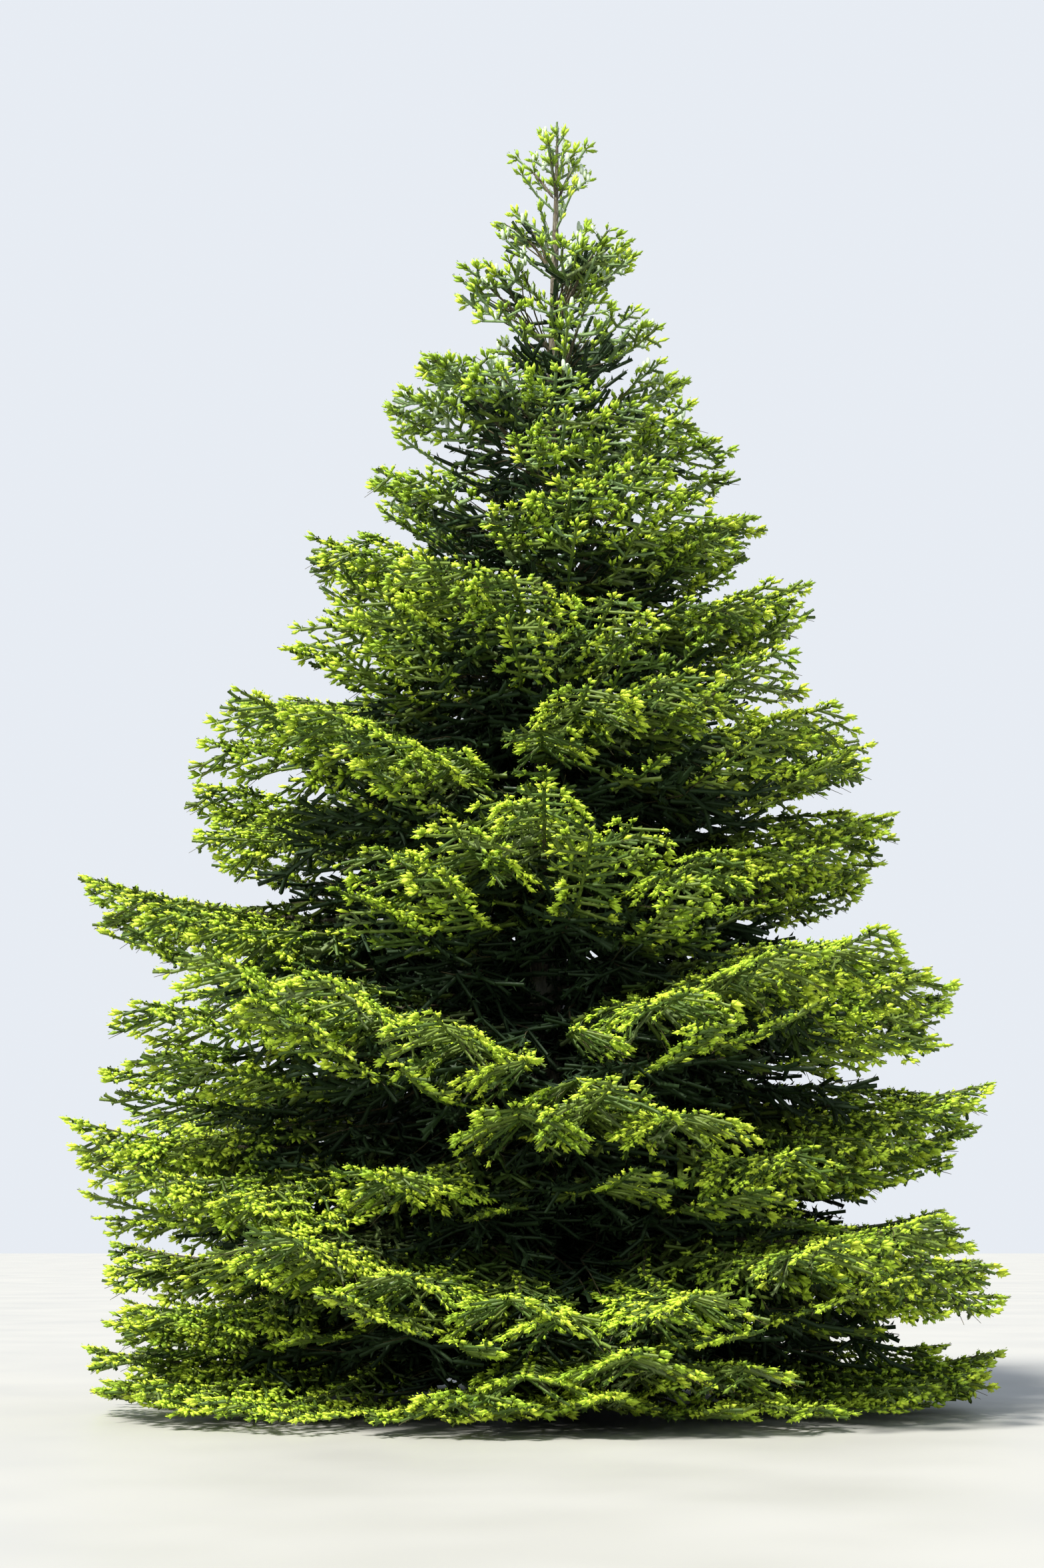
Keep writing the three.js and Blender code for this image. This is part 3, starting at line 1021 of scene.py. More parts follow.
@dataclass(frozen=True)
class BrushShape:
    """One year of needles on a twig: a core, as thick as a share of their reach, and single ones.

    lean is how far a needle's point is ahead of its foot, width half its width, bend how far the
    brush sags, and widest where the core is thickest: at 1 it is as thick all along.
    """

    core: float
    lean: float
    width: float
    bend: float
    widest: float = 0.66
    needles: int = 4
    sides: int = 3
    flat: float = 0.8

    SPREAD = 0.98
    UNEVEN = 0.35
    FOOT = 0.7
    BROAD = 3.2
    SHORT_END = 0.25
    SHORT_FROM = 0.8
    SHORT_OVER = 0.2
    OUT = (0.88, 1.12)
    TWIST = (0.5, 0.9)
    AHEAD = (0.7, 1.2)

    def arrays(self, seed: int) -> tuple[np.ndarray, np.ndarray]:
        """Makes the brush as arrays, one unit long with needles one unit wide.

        Args:
            seed: What tells one variant from another.

        Returns:
            Points as rows of length, side, height and sag, and the triangles between them.
        """
        random, sides = Seeded(seed), self.sides
        rings = (self.widest,) if self.widest < 1 else (0.0, 1.0)
        points = [(0.0, 0.0, 0.0), (1.0, 0.0, 0.0)]
        for x in rings:
            for k in range(sides):
                angle = 2 * math.pi * (k + 0.25) / sides
                points.append((x, self.core * math.cos(angle), self.core * math.sin(angle) * self.flat))
        triangles = []
        for k in range(sides):
            this, following = 2 + k, 2 + (k + 1) % sides
            if len(rings) == 1:
                triangles += [(0, following, this), (1, this, following)]
            else:
                triangles += [(this, following, following + sides), (this, following + sides, this + sides)]
        for i in range(self.needles):
            x = (i + 0.5) / self.needles * self.SPREAD
            angle = i * GOLDEN_ANGLE + random.around(self.UNEVEN)
            shorter = self.SHORT_END * max(0.0, x - self.SHORT_FROM) / self.SHORT_OVER
            out = random.between(*self.OUT) * (1 - shorter)
            twist = random.between(*self.TWIST) * (1 if i % 2 else -1)
            ring = Vector((0.0, -math.sin(angle), math.cos(angle)))
            radial = Vector((0.0, math.cos(angle), math.sin(angle)))
            half = Vector((math.cos(twist) * self.width, 0.0, 0.0))
            half += ring * math.sin(twist) * self.width * self.BROAD
            foot = Vector((x, 0.0, 0.0)) + radial * self.core * self.FOOT
            point = Vector((x + self.lean * random.between(*self.AHEAD), 0.0, 0.0)) + radial * out
            start = len(points)
            points += [tuple(foot - half), tuple(foot + half), tuple(point)]
            triangles.append((start, start + 1, start + 2))
        table = np.array(points)
        sag = -self.bend * table[:, 0] ** 2
        return np.column_stack([table, sag]), np.array(triangles)


@dataclass(frozen=True)
class Stand:
    """Where a twig starts: a point, a direction, the one beside it and the side that faces up."""

    at: Vector
    heading: Vector
    across: Vector
    over: Vector

    def aimed(self, heading: Vector) -> "Stand":
        """The same stand with another direction."""
        return Stand(self.at, heading, self.across, self.over)

    def rolled(self) -> "Stand":
        """The same stand on its side, for the shoots above and below a branch."""
        return Stand(self.at, self.heading, self.over, self.across)


@dataclass
class Brushes:
    """Every brush of needles on the tree, gathered as rows of numbers by age and tint."""

    shapes: dict[Age, BrushShape] = field(default_factory=lambda: {
        Age.NEW: BrushShape(core=0.77, lean=0.1, width=0.08, bend=0.07),
        Age.OLD: BrushShape(core=0.52, lean=0.1, width=0.11, bend=0.03, widest=1.0),
        Age.INSIDE: BrushShape(core=0.4, lean=0.12, width=0.07, bend=0.03, widest=1.0),
    })
    variants: int = 3
    most: int = 190_000
    rows: dict[tuple[Age, Tint], list[tuple[float, ...]]] = field(default_factory=dict)

    def add(self, age: Age, tint: Tint, stand: Stand, length: float, reach: float) -> None:
        """Adds one brush, with its length and how far its needles reach."""
        row = (*stand.at, *stand.heading, *stand.over, length, reach)
        self.rows.setdefault((age, tint), []).append(row)

    def placed(self, age: Age, rows: list[tuple[float, ...]]) -> tuple[np.ndarray, np.ndarray]:
        """The arrays of many brushes of one age.

        Args:
            age: What they are.
            rows: The brushes.

        Returns:
            Points and triangles.
        """
        shape, table, parts = self.shapes[age], np.array(rows), []
        for variant in range(self.variants):
            mine = table[variant::self.variants]
            if not len(mine):
                continue
            unit, triangles = shape.arrays(variant * 7 + 3)
            at, heading, over = mine[:, 0:3], mine[:, 3:6], mine[:, 6:9]
            length, reach = mine[:, 9, None], mine[:, 10, None]
            side = np.cross(over, heading)
            side /= np.linalg.norm(side, axis=1, keepdims=True)
            over = np.cross(heading, side)
            points = (
                at[:, None, :]
                + (unit[None, :, 0] * length)[:, :, None] * heading[:, None, :]
                + (unit[None, :, 1] * reach)[:, :, None] * side[:, None, :]
                + (unit[None, :, 2] * reach + unit[None, :, 3] * length)[:, :, None] * over[:, None, :]
            )
            starts = np.arange(len(mine))[:, None, None] * len(unit)
            parts.append((points.reshape(-1, 3), (triangles[None] + starts).reshape(-1, 3)))
        return stack(parts)

    def build(self) -> list[bpy.types.Object]:
        """Joins the brushes into pieces, each of one age and one tint.

        Returns:
            The finished pieces.
        """
        pieces, materials = [], {}
        for age, tint in sorted(self.rows, key=lambda kind: (kind[0].value, kind[1].name)):
            rows = self.rows[age, tint]
            faces = len(self.shapes[age].arrays(0)[1])
            share = math.ceil(len(rows) * faces / self.most)
            size = math.ceil(len(rows) / share)
            for part in range(share):
                name = f"{tint.value.label}_{age.value}_{part + 1}"
                piece = mesh_object(name, *self.placed(age, rows[part * size:(part + 1) * size]))
                if tint not in materials:
                    materials[tint] = tint.value.material()
                piece.data.materials.append(materials[tint])
                pieces.append(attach(piece, "root"))
                log.info("%s: %d triangles", name, len(piece.data.polygons))
        return pieces


@dataclass
class Cones:
    """The young cones that stand upright on the highest boughs."""

    height: float = 0.105
    radius: float = 0.023
    sides: int = 6
    tilt: float = 0.12
    sizes: tuple[float, float] = (0.8, 1.15)
    seed: int = 77
    profile: tuple[tuple[float, float], ...] = (
        (0.0, 0.45), (0.12, 0.95), (0.42, 1.0), (0.75, 0.82), (0.94, 0.42))
    finish: NeedleFinish = NeedleFinish("young_cones", (0.52, 0.62, 0.45), 0.1, 0.45, 0.7, 0.25)
    places: list[Vector] = field(default_factory=list)

    def build(self) -> bpy.types.Object:
        """Models one cone and sets copies of it on the twigs, joined to one piece.

        Returns:
            The finished piece.
        """
        points = [Vector((0.0, 0.0, self.height * share)) for share, _ in self.profile]
        model = Limb("cone", points, [self.radius * wide for _, wide in self.profile], self.sides).build()
        choose(model)
        with editing():
            bpy.ops.mesh.quads_convert_to_tris()
        unit = np.array([tuple(vertex.co) for vertex in model.data.vertices])
        faces = np.array([tuple(face.vertices) for face in model.data.polygons])
        bpy.data.objects.remove(model)
        random, parts = Seeded(self.seed), []
        for place in self.places:
            size = random.between(*self.sizes)
            lean = np.array([random.around(self.tilt), random.around(self.tilt), 0.0])
            parts.append((unit * size + unit[:, 2:] * lean + np.array(place), faces))
        piece = mesh_object("young_cones", *stack(parts))
        piece.data.materials.append(self.finish.material())
        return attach(piece, "root")


@dataclass(frozen=True)
class Arm:
    """One arm of a bough: where it ends, and how far up or down its layer it lies.

    to is a share of the clad stretch, swing a share of the half sector, lift a share of the layer
    above or below the bough, new how much of it grows this spring, shade how far it is from the
    light, and coarse how much larger its units are than those that show.
    """

    to: float
    swing: float
    lift: float
    new: float = 1.0
    shade: int = 0
    coarse: float = 1.0
    dull: bool = False

    @property
    def shown(self) -> bool:
        """True for an arm that shows, false for a dark one close to the trunk."""
        return self.coarse == 1.0


# How much larger the units of the inner twigs are, and how much the steps up the trunk differ
COARSE = 1.9
STEPS = (0.8, 1.2)

ARMS = (
    Arm(1.0, 0.0, 0.0), Arm(0.96, 0.34, 0.14), Arm(0.95, -0.36, 0.06), Arm(0.92, 0.12, -0.72, 0.85),
    Arm(0.9, 0.68, 0.0), Arm(0.89, -0.72, -0.04), Arm(0.8, -0.1, 0.6), Arm(0.88, 0.52, -0.76, 0.8),
    Arm(0.88, -0.34, -0.78, 0.8), Arm(0.84, 0.9, -0.1), Arm(0.82, -0.91, -0.14),
    Arm(0.82, 0.86, -0.84, 0.65, 1), Arm(0.82, -0.78, -0.86, 0.65, 1),
)
# More arms of the lowest boughs, down to the ground
GROUND_ARMS = (
    Arm(0.92, 0.12, -0.55), Arm(0.86, 0.55, -0.85), Arm(0.9, -0.5, -0.7), Arm(0.88, 0.3, -0.3, 0.8),
    Arm(0.86, -0.15, -0.95, 0.6, 1), Arm(0.88, 0.78, -0.5, 0.7, 1), Arm(0.88, -0.76, -0.45, 0.7, 1),
)
# Arms close to the trunk, dark with painted shade
INNER_ARMS = tuple(Arm(to, swing, lift, new=0.0, shade=2, coarse=COARSE) for to, swing, lift in (
    (0.38, -0.45, 0.75), (0.36, 0.5, 0.9), (0.46, 0.95, 0.1), (0.46, -0.95, 0.4), (0.42, 0.05, -0.3),
    (0.42, 0.5, -0.95), (0.42, -0.5, -0.85), (0.62, -0.15, 0.1), (0.6, 0.7, -0.5), (0.6, -0.7, -0.6),
    (0.6, 0.1, -0.8),
))
# Boughs, by turn and number, whose arms high above them (1) or far below (-1) are dull
DULL_ARMS = {(0, 4): 1, (1, 1): 1}


@dataclass(frozen=True)
class Rank:
    """One fan of side branches of an arm: how steep they start and end, and what they carry.

    They stand at one point of the arm in every so many, from the point numbered offset on.
    """

    start: float
    end: float
    length: float
    every: int
    offset: int
    new: float = 0.0
    shade: int = 0


RANKS = (Rank(-6, -58, 1.0, 1, 0, new=1.0), Rank(-42, -78, 0.8, 3, 1, new=0.28, shade=1))
INNER_RANKS = (Rank(0, -40, 1.3, 1, 0), Rank(-50, -80, 1.3, 2, 1))


@dataclass
class Shaft:
    """The dark inside of the crown, where the trunk has short twigs of its own, near-black with painted
    shade.
    """

    trunk: Trunk
    first: float = 0.5
    last: float = 11.2
    step: float = 0.05
    longest: float = 1.45
    shortest: float = 0.3
    lowest: float = 0.2
    droop: float = -12.0
    turn_jitter: float = 0.4
    rise_jitter: float = 25.0
    upright: float = 0.4
    seed: int = 611

    def length(self, height: float) -> float:
        """How long an inner twig is that stands at a height."""
        return lerp(self.longest, self.shortest, clamp(height / self.last) ** 2)

    def holds(self, point: Vector) -> bool:
        """True where an inner twig may be."""
        furthest = self.length(point.z) + self.shortest
        return point.z > self.lowest and math.hypot(point.x, point.y) < furthest


@dataclass
class Spray:
    """What all twigs of one side branch share.

    space is where they may be, old and new are the tints of their needles, fresh is how much of them
    grows this spring, coarse the size of their units and crest how much they are of the high boughs.
    """

    space: Bough | Within | Top | Shaft
    random: Seeded
    old: Tint
    new: Tint
    fresh: float
    coarse: float
    crest: float = 0.0


@dataclass
class Sprays:
    """Grows the arms of every bough, their side branches and twigs, and the needles on them."""

    twigs: TwigWood
    brushes: Brushes
    cones: Cones

    # Brushes: a yearly unit of a twig, how far its needles reach and how much they are lengthened
    unit: float = 0.15
    finest: float = 0.85
    reach_new: float = 0.031
    reach_old: float = 0.036
    overlap: float = 1.05
    crest_long: float = 0.2
    crest_wide: float = 0.12

    # Arms: where they fork off and are clad from, as shares of the reach, and how they sway
    fork: float = 0.1
    inner_fork: float = 0.04
    inside: float = 0.34
    inner_inside: float = 0.06
    leader_inside: float = 0.14
    spreading: float = 1.6
    end_jitter: float = 0.04
    swing_jitter: float = 0.07
    lift_jitter: float = 0.1
    wave: float = 0.012
    waves: float = 7.0
    drift: float = 0.035
    lowest: float = 0.13
    small_reach: float = 1.15
    crest_reach: float = 2.6
    crest_over: float = 1.2
    crest_tints: float = 1.6
    crest_open: float = 0.7
    crest_arms: int = 6
    crest_inner_arms: int = 8
    small_inner_arms: int = 2
    side_chance: float = 0.9
    dull_lift: float = 0.55
    dull_new: float = 0.12
    ridge_chance: float = 0.85
    ridge_angle: float = 52.0
    ridge_tilt: float = 48.0
    ridge_length: tuple[float, float] = (0.45, 0.65)

    # Side branches: their angles in degrees, their length and what they carry
    angle_root: float = 66.0
    angle_tip: float = 46.0
    angle_jitter: float = 11.0
    start_jitter: float = 0.6
    longest: float = 0.68
    lengths: tuple[float, float] = (0.8, 1.15)
    full_reach: float = 3.2
    size_power: float = 0.7
    left_share: float = 0.7
    tip_length: float = 0.16
    flattening: float = 0.55
    least_fold: float = 0.55
    full_droop: float = 28.0
    hidden: float = 0.55
    hidden_coarse: float = 1.6
    hidden_left_out: float = 0.6
    # Painted shade: sprays closer to the trunk than this share of the reach take tints one step darker
    dark: float = 0.45
    fresh_from: float = 0.36
    arm_fresh_over: float = 0.2
    side_fresh_over: float = 0.22
    well_lit: float = 0.4
    resting: float = 0.2
    resting_new: float = 0.35

    # Twigs and cones
    seen_coarse: float = 1.68
    seen_fresh: float = 0.5
    twig_angle: float = 42.0
    twig_jitter: float = 9.0
    twig_length: tuple[float, float] = (0.78, 1.05)
    shoot_angle: float = 36.0
    shoot_jitter: float = 8.0
    shoot_length: tuple[float, float] = (0.72, 0.95)
    upturn: float = 0.3
    crest_upturn: float = 1.5
    upturns: tuple[float, float] = (0.3, 1.1)
    upright: float = 0.5
    upright_length: float = 0.7
    inner_twigs: float = 0.6
    inner_shoots: float = 0.75
    cone_height: float = 9.3
    cone_chance: float = 0.27
    cone_apart: float = 0.055
    cone_raised: float = 0.045

    def clothe(self, bough: Bough) -> None:
        """Grows everything on one bough.

        Args:
            bough: The bough.
        """
        random = Seeded(bough.seed * 31 + 5)
        if bough.is_leader:
            arms = ARMS[:1]
        else:
            high = self.crest(bough)
            inner = round(lerp(len(INNER_ARMS), self.crest_inner_arms, high))
            if bough.reach < self.small_reach:
                inner = self.small_inner_arms
            arms = ARMS[:round(lerp(len(ARMS), self.crest_arms, high))] + INNER_ARMS[:inner]
            if bough.level == 0:
                arms += GROUND_ARMS
        mirror = 1 if random.next() < 0.5 else -1
        for arm in arms:
            self.clothe_arm(bough, arm, mirror, random)

    def fine(self, bough: Bough) -> float:
        """How large a bough's units are: the short boughs near the top have small ones."""
        return 1.0 if bough.is_leader else lerp(self.finest, 1.0, clamp((bough.reach - 1.0) / 2.2))

    def crest(self, bough: Bough) -> float:
        """How much a bough is one of the short, open ones near the top, from 0 to 1."""
        return clamp((self.crest_reach - bough.reach) / self.crest_over)

    def fresh(self, share: float, over: float) -> float:
        """How much grows this spring at a share of the reach: nothing close to the trunk."""
        return clamp((share - self.fresh_from) / over)

    def tints(self, shade: int, crest: float, random: Seeded) -> tuple[Tint, Tint]:
        """The colours of one spray, darker by painted shade the further it is from the light.

        Args:
            shade: How far it is from the light.
            crest: How much its bough is one of the highest.
            random: The bough's row of numbers.

        Returns:
            The tint of its old needles and that of its new ones.
        """
        if shade == 0 and random.next() < crest * self.crest_tints:
            return random.pick(HIGH_OLD_TINTS), random.pick(HIGH_NEW_TINTS)
        return random.pick(OLD_TINTS[shade]), random.pick(NEW_TINTS[shade])

    def arm_line(self, bough: Bough, arm: Arm, mirror: int, random: Seeded) -> list[Vector]:
        """The line of one arm, from where it forks off to its tip.

        Args:
            bough: The bough.
            arm: The arm.
            mirror: -1 where left and right change places on this bough.
            random: The bough's row of numbers.

        Returns:
            Points a yearly unit apart.
        """
        main = not arm.swing
        half = math.pi / bough.turn.boughs
        end = lerp(bough.turn.clad, 1.0, arm.to if main else clamp(arm.to + random.around(self.end_jitter)))
        swing = 0.0 if main else (arm.swing + random.around(self.swing_jitter)) * half * mirror
        lift = 0.0 if main else arm.lift + random.around(self.lift_jitter)
        if bough.is_leader:
            end = Top(bough.trunk).end(bough, end)
        fork = self.fork if arm.shown else self.inner_fork
        phase, drift = random.around(math.pi), 0.0 if main else random.around(self.drift) * bough.reach
        count = max(3, round((end - fork) * bough.reach / (self.unit * arm.coarse * self.fine(bough))))
        space, free = (bough, 0.5) if arm.shown else (Within(bough), 0.3)
        line = []
        for i in range(count + 1):
            along = i / count
            share = lerp(fork, end, along)
            away = clamp(along * self.spreading)
            away = away * away * (3 - 2 * away)
            turned = swing * away
            wave = 0.0 if main else self.wave * bough.reach * math.sin(self.waves * along + phase) * away
            rise = lift * away * bough.depth(share, arm.lift > 0) + wave + drift * along**2
            point = bough.point(share, turned, rise - bough.slope(share * bough.reach, turned))
            point.z = max(point.z, self.lowest)
            if not main and along > free and not space.holds(point):
                break
            line.append(point)
        return line

    def clothe_arm(self, bough: Bough, arm: Arm, mirror: int, random: Seeded) -> None:
        """Grows the side branches of one arm and the needles along it.

        Args:
            bough: The bough.
            arm: The arm.
            mirror: -1 where left and right change places on this bough.
            random: The bough's row of numbers.
        """
        line = self.arm_line(bough, arm, mirror, random)
        count = len(line) - 1
        if arm.shown and arm.lift * DULL_ARMS.get((bough.level, bough.number), 0) > self.dull_lift:
            arm = replace(arm, dull=True, new=self.dull_new)
        if arm.swing:
            self.twigs.add(line[::2] if count % 2 == 0 else line, self.twigs.arm, bough.reach)
        space, clad = bough, self.inside
        if bough.is_leader:
            space, clad = Top(bough.trunk), self.leader_inside
        elif not arm.shown:
            space, clad = Within(bough), self.inner_inside
        coarse, crest = arm.coarse * self.fine(bough), self.crest(bough)
        for i in range(count):
            along = i / count
            share = math.hypot(line[i].x, line[i].y) / bough.reach
            if share < clad:
                continue
            forward = (line[i + 1] - line[i]).normalized()
            level = UP.cross(forward).normalized()
            stand = Stand(line[i], forward, level, forward.cross(level))
            fresh = arm.new * (1.0 if bough.is_leader else self.fresh(share, self.arm_fresh_over))
            # Painted shade: arms under their bough or close to the trunk take darker tints
            old, new = self.tints(arm.shade, crest, random)
            spray = Spray(space, random, old, new, fresh, coarse, crest)
            if i == count - 1:
                self.shoot(spray, stand, 1.0)
                self.side_shoots(spray, stand, self.side_chance)
                if bough.is_leader:
                    self.side_shoots(spray, stand.rolled(), 1.0)
                continue
            if arm.shown:
                self.needles_along(spray, stand, line, i, bough.is_leader)
                self.ridge_shoots(spray, stand)
            if bough.is_leader:
                self.side_shoots(spray, stand, 1.0)
                self.side_shoots(spray, stand.rolled(), 1.0)
                continue
            wider = 1 if not arm.shown or (share > self.hidden and crest < self.crest_open) else 2
            for rank in RANKS if arm.shown else INNER_RANKS:
                if i % (rank.every * wider) == rank.offset:
                    for side in (-1, 1):
                        self.side_branch(bough, arm, rank, stand, along, share, side, random)

    def ridge_shoots(self, spray: Spray, stand: Stand) -> None:
        """Short shoots on top of an arm, which hide its wood.

        Args:
            spray: The arm's own spray.
            stand: Where they start.
        """
        for side in (-1, 1):
            if spray.random.next() > spray.fresh * self.ridge_chance:
                continue
            angle = math.radians(self.ridge_angle + spray.random.around(12.0))
            tilt = math.radians(self.ridge_tilt + spray.random.around(20.0))
            aside = stand.across * side * math.sin(tilt) + stand.over * math.cos(tilt)
            way = (stand.heading * math.cos(angle) + aside * math.sin(angle)).normalized()
            self.shoot(spray, stand.aimed(way), spray.random.between(*self.ridge_length))

    def side_branch(self, bough: Bough, arm: Arm, rank: Rank, stand: Stand, along: float, share: float,
                    side: int, random: Seeded) -> None:
        """One side branch with its twigs.

        Args:
            bough: The bough whose space it keeps to.
            arm: The arm that it stands on.
            rank: The fan that it belongs to.
            stand: Where it starts on the arm.
            along: How far along the arm that is, as a share.
            share: How far from the trunk that is, as a share of the reach.
            side: -1 or 1.
            random: The bough's row of numbers.
        """
        forward, level, over = stand.heading, stand.across * side, stand.over
        coarse = arm.coarse if share > self.hidden else max(arm.coarse, self.hidden_coarse)
        coarse *= self.fine(bough)
        unit = self.unit * coarse
        size = clamp(bough.reach / self.full_reach, 0.5, 1.0) ** self.size_power
        left = (1 - along) * bough.reach * self.left_share + self.tip_length
        longest = min(self.longest * size * rank.length, left) * random.between(*self.lengths)
        steps = max(1, round(longest / unit))
        outward = 1 - self.flattening * along**3
        fold = lerp(self.least_fold, 1.0, bough.turn.droop / self.full_droop)
        lift, swept = random.around(self.angle_jitter), random.around(self.angle_jitter)
        point = stand.at + forward * unit * random.between(0.0, self.start_jitter)
        # Painted shade: sprays on hanging ranks, on shaded arms or close to the trunk take darker tints
        shade = min(2, rank.shade + arm.shade + (1 if share < self.dark else 0))
        growth = arm.new * rank.new * self.fresh(share, self.side_fresh_over)
        if random.next() < self.resting:
            growth *= self.resting_new
        space = bough if arm.shown else Within(bough)
        crest = self.crest(bough)
        old, new = self.tints(shade, crest, random)
        spray = Spray(space, random, Tint.DULL if arm.dull else old, new, growth, coarse, crest)
        line, headings = [point], []
        for i in range(steps):
            out = (i + 0.5) / steps
            slope = math.radians((lerp(rank.start, rank.end, out**0.8) * fold + lift) * outward)
            angle = math.radians(lerp(self.angle_root, self.angle_tip, out) + swept)
            aside = level * math.cos(slope) + over * math.sin(slope)
            heading = (forward * math.cos(angle) + aside * math.sin(angle)).normalized()
            following = point + heading * unit
            if not space.holds(following):
                break
            headings.append(heading)
            line.append(following)
            point = following
        if headings:
            self.dress(spray, line, headings, forward)

    def dress(self, spray: Spray, line: list[Vector], headings: list[Vector], forward: Vector) -> None:
        """Puts twigs and needles on a side branch, which ends in new growth.

        Args:
            spray: What its twigs share.
            line: Its points, a unit apart.
            headings: Its direction in each unit.
            forward: The direction of the arm that it stands on.
        """
        steps = len(headings)
        if spray.coarse < self.seen_coarse and steps > 2 and spray.fresh < self.seen_fresh:
            self.twigs.add([line[0], line[steps // 2], line[-1]], self.twigs.branch, steps)
        for i, heading in enumerate(headings):
            across = (forward - heading * forward.dot(heading)).normalized()
            normal = heading.cross(across).normalized()
            if normal.z < 0:
                normal.negate()
            if i == steps - 1:
                raised = (heading + UP * self.upturn * (1 + spray.crest)).normalized()
                last = Stand(line[i], raised, across, normal)
                self.shoot(spray, last, 1.0)
                self.side_shoots(spray, last, self.side_chance)
                continue
            dark = spray.coarse > self.hidden_coarse
            self.needles_along(spray, Stand(line[i], heading, across, normal), line, i, dark)
            stand = Stand(line[i + 1], heading, across, normal)
            if stand.at.z > self.cone_height and spray.crest > 0 and spray.coarse < 1:
                self.set_cones(stand)
            if spray.random.next() < self.upright * spray.fresh:
                raised = (heading * (1 - 0.4 * spray.crest) + UP * lerp(0.5, 1.0, spray.crest)).normalized()
                self.shoot(spray, stand.aimed(raised), self.upright_length)
            outer = i + 1 >= steps / 2
            for side in (-1, 1):
                if outer or spray.random.next() < self.inner_twigs * (1 - 0.5 * spray.crest):
                    self.twig(spray, stand, side, outer)

    def twig(self, spray: Spray, stand: Stand, side: int, outer: bool) -> None:
        """One short twig of a side branch.

        Args:
            spray: The side branch that carries it.
            stand: Where it starts.
            side: -1 or 1.
            outer: Whether it is on the outer half, where the new growth is.
        """
        angle = math.radians(self.twig_angle + spray.random.around(self.twig_jitter))
        way = stand.heading * math.cos(angle) + stand.across * side * math.sin(angle)
        upturn = UP * self.upturn * (1 + spray.crest * self.crest_upturn)
        way = (way + upturn * spray.random.between(*self.upturns)).normalized()
        length = spray.random.between(*self.twig_length)
        if outer or spray.random.next() < spray.fresh * self.inner_shoots:
            self.shoot(spray, stand.aimed(way), length)
        elif spray.space.holds(stand.at + way * self.unit * spray.coarse * length):
            self.needles(spray, stand.aimed(way), length)

    def set_cones(self, stand: Stand) -> None:
        """Sets a few young cones on a side branch, on some of them.

        Args:
            stand: A point of the branch and its directions.
        """
        at = stand.at
        random = Seeded(int(abs(at.x * 7919 + at.y * 6421 + at.z * 3571) * 10) + 5)
        if random.next() > self.cone_chance:
            return
        for i in range(1 + int(random.next() * 3)):
            beside = stand.across * (i - 1) * self.cone_apart
            self.cones.places.append(at + beside + UP * self.cone_raised)

    def needles_along(self, spray: Spray, stand: Stand, line: list[Vector], i: int, single: bool) -> None:
        """Old needles along a branch, one brush to two units or to each single one.

        Args:
            spray: The branch's spray.
            stand: Where the branch is at this point.
            line: The branch's points.
            i: The number of this point.
            single: Whether each unit has a brush of its own.
        """
        if single or i % 2 == 0:
            span = line[i + (1 if single or i + 2 >= len(line) - 1 else 2)] - stand.at
            self.needles(spray, stand.aimed(span.normalized()), span.length / (self.unit * spray.coarse))

    def needles(self, spray: Spray, stand: Stand, length: float) -> None:
        """One unit of old needles.

        Args:
            spray: The side branch that it belongs to.
            stand: Where it starts and points.
            length: Its length, as a share of a unit.
        """
        age = Age.INSIDE if spray.coarse > self.hidden_coarse else Age.OLD
        long = self.unit * spray.coarse * length * self.overlap
        self.brushes.add(age, spray.old, stand, long, self.reach_old * spray.coarse)

    def shoot(self, spray: Spray, stand: Stand, length: float) -> None:
        """The last unit of a twig, with new needles where the spray has them and else old ones.

        Args:
            spray: The side branch that it belongs to.
            stand: Where it starts and points.
            length: Its length, as a share of a unit.
        """
        if not spray.space.holds(stand.at + stand.heading * self.unit * spray.coarse * length):
            return
        if spray.random.next() < spray.fresh:
            small = min(spray.coarse, 1.0)
            long = self.unit * small * length * (1 + spray.crest * self.crest_long)
            wide = self.reach_new * small * (1 + spray.crest * self.crest_wide)
            self.brushes.add(Age.NEW, spray.new, stand, long, wide)
        elif spray.fresh > self.well_lit or spray.random.next() > self.hidden_left_out:
            self.needles(spray, stand, length)

    def side_shoots(self, spray: Spray, stand: Stand, chance: float) -> None:
        """The shorter new shoots on both sides of the last one.

        Args:
            spray: The side branch that they belong to.
            stand: Where the last shoot starts and points.
            chance: How likely each of them is.
        """
        for side in (-1, 1):
            if spray.random.next() > chance * spray.fresh:
                continue
            angle = math.radians(self.shoot_angle + spray.random.around(self.shoot_jitter))
            way = (stand.heading * math.cos(angle) + stand.across * math.sin(angle) * side).normalized()
            self.shoot(spray, stand.aimed(way), spray.random.between(*self.shoot_length))

    def clothe_shaft(self, shaft: Shaft) -> None:
        """Grows the twigs round the trunk, inside the crown, dark with painted shade.

        Args:
            shaft: Where they stand.
        """
        random, turned, height = Seeded(shaft.seed), 0.0, shaft.first
        unit = self.unit * COARSE
        while height < shaft.last:
            azimuth = turned + random.around(shaft.turn_jitter)
            outward = Vector((math.cos(azimuth), math.sin(azimuth), 0.0))
            start = Vector((*shaft.trunk.axis(height), height)) + outward * shaft.trunk.girth(height)
            rise = math.radians(shaft.droop + random.around(shaft.rise_jitter))
            heading = outward * math.cos(rise) + UP * math.sin(rise)
            steps = max(1, round(shaft.length(height) * random.between(0.6, 1.0) / unit))
            line = [start + heading * unit * i for i in range(steps + 1)]
            line = [point for point in line if shaft.holds(point)]
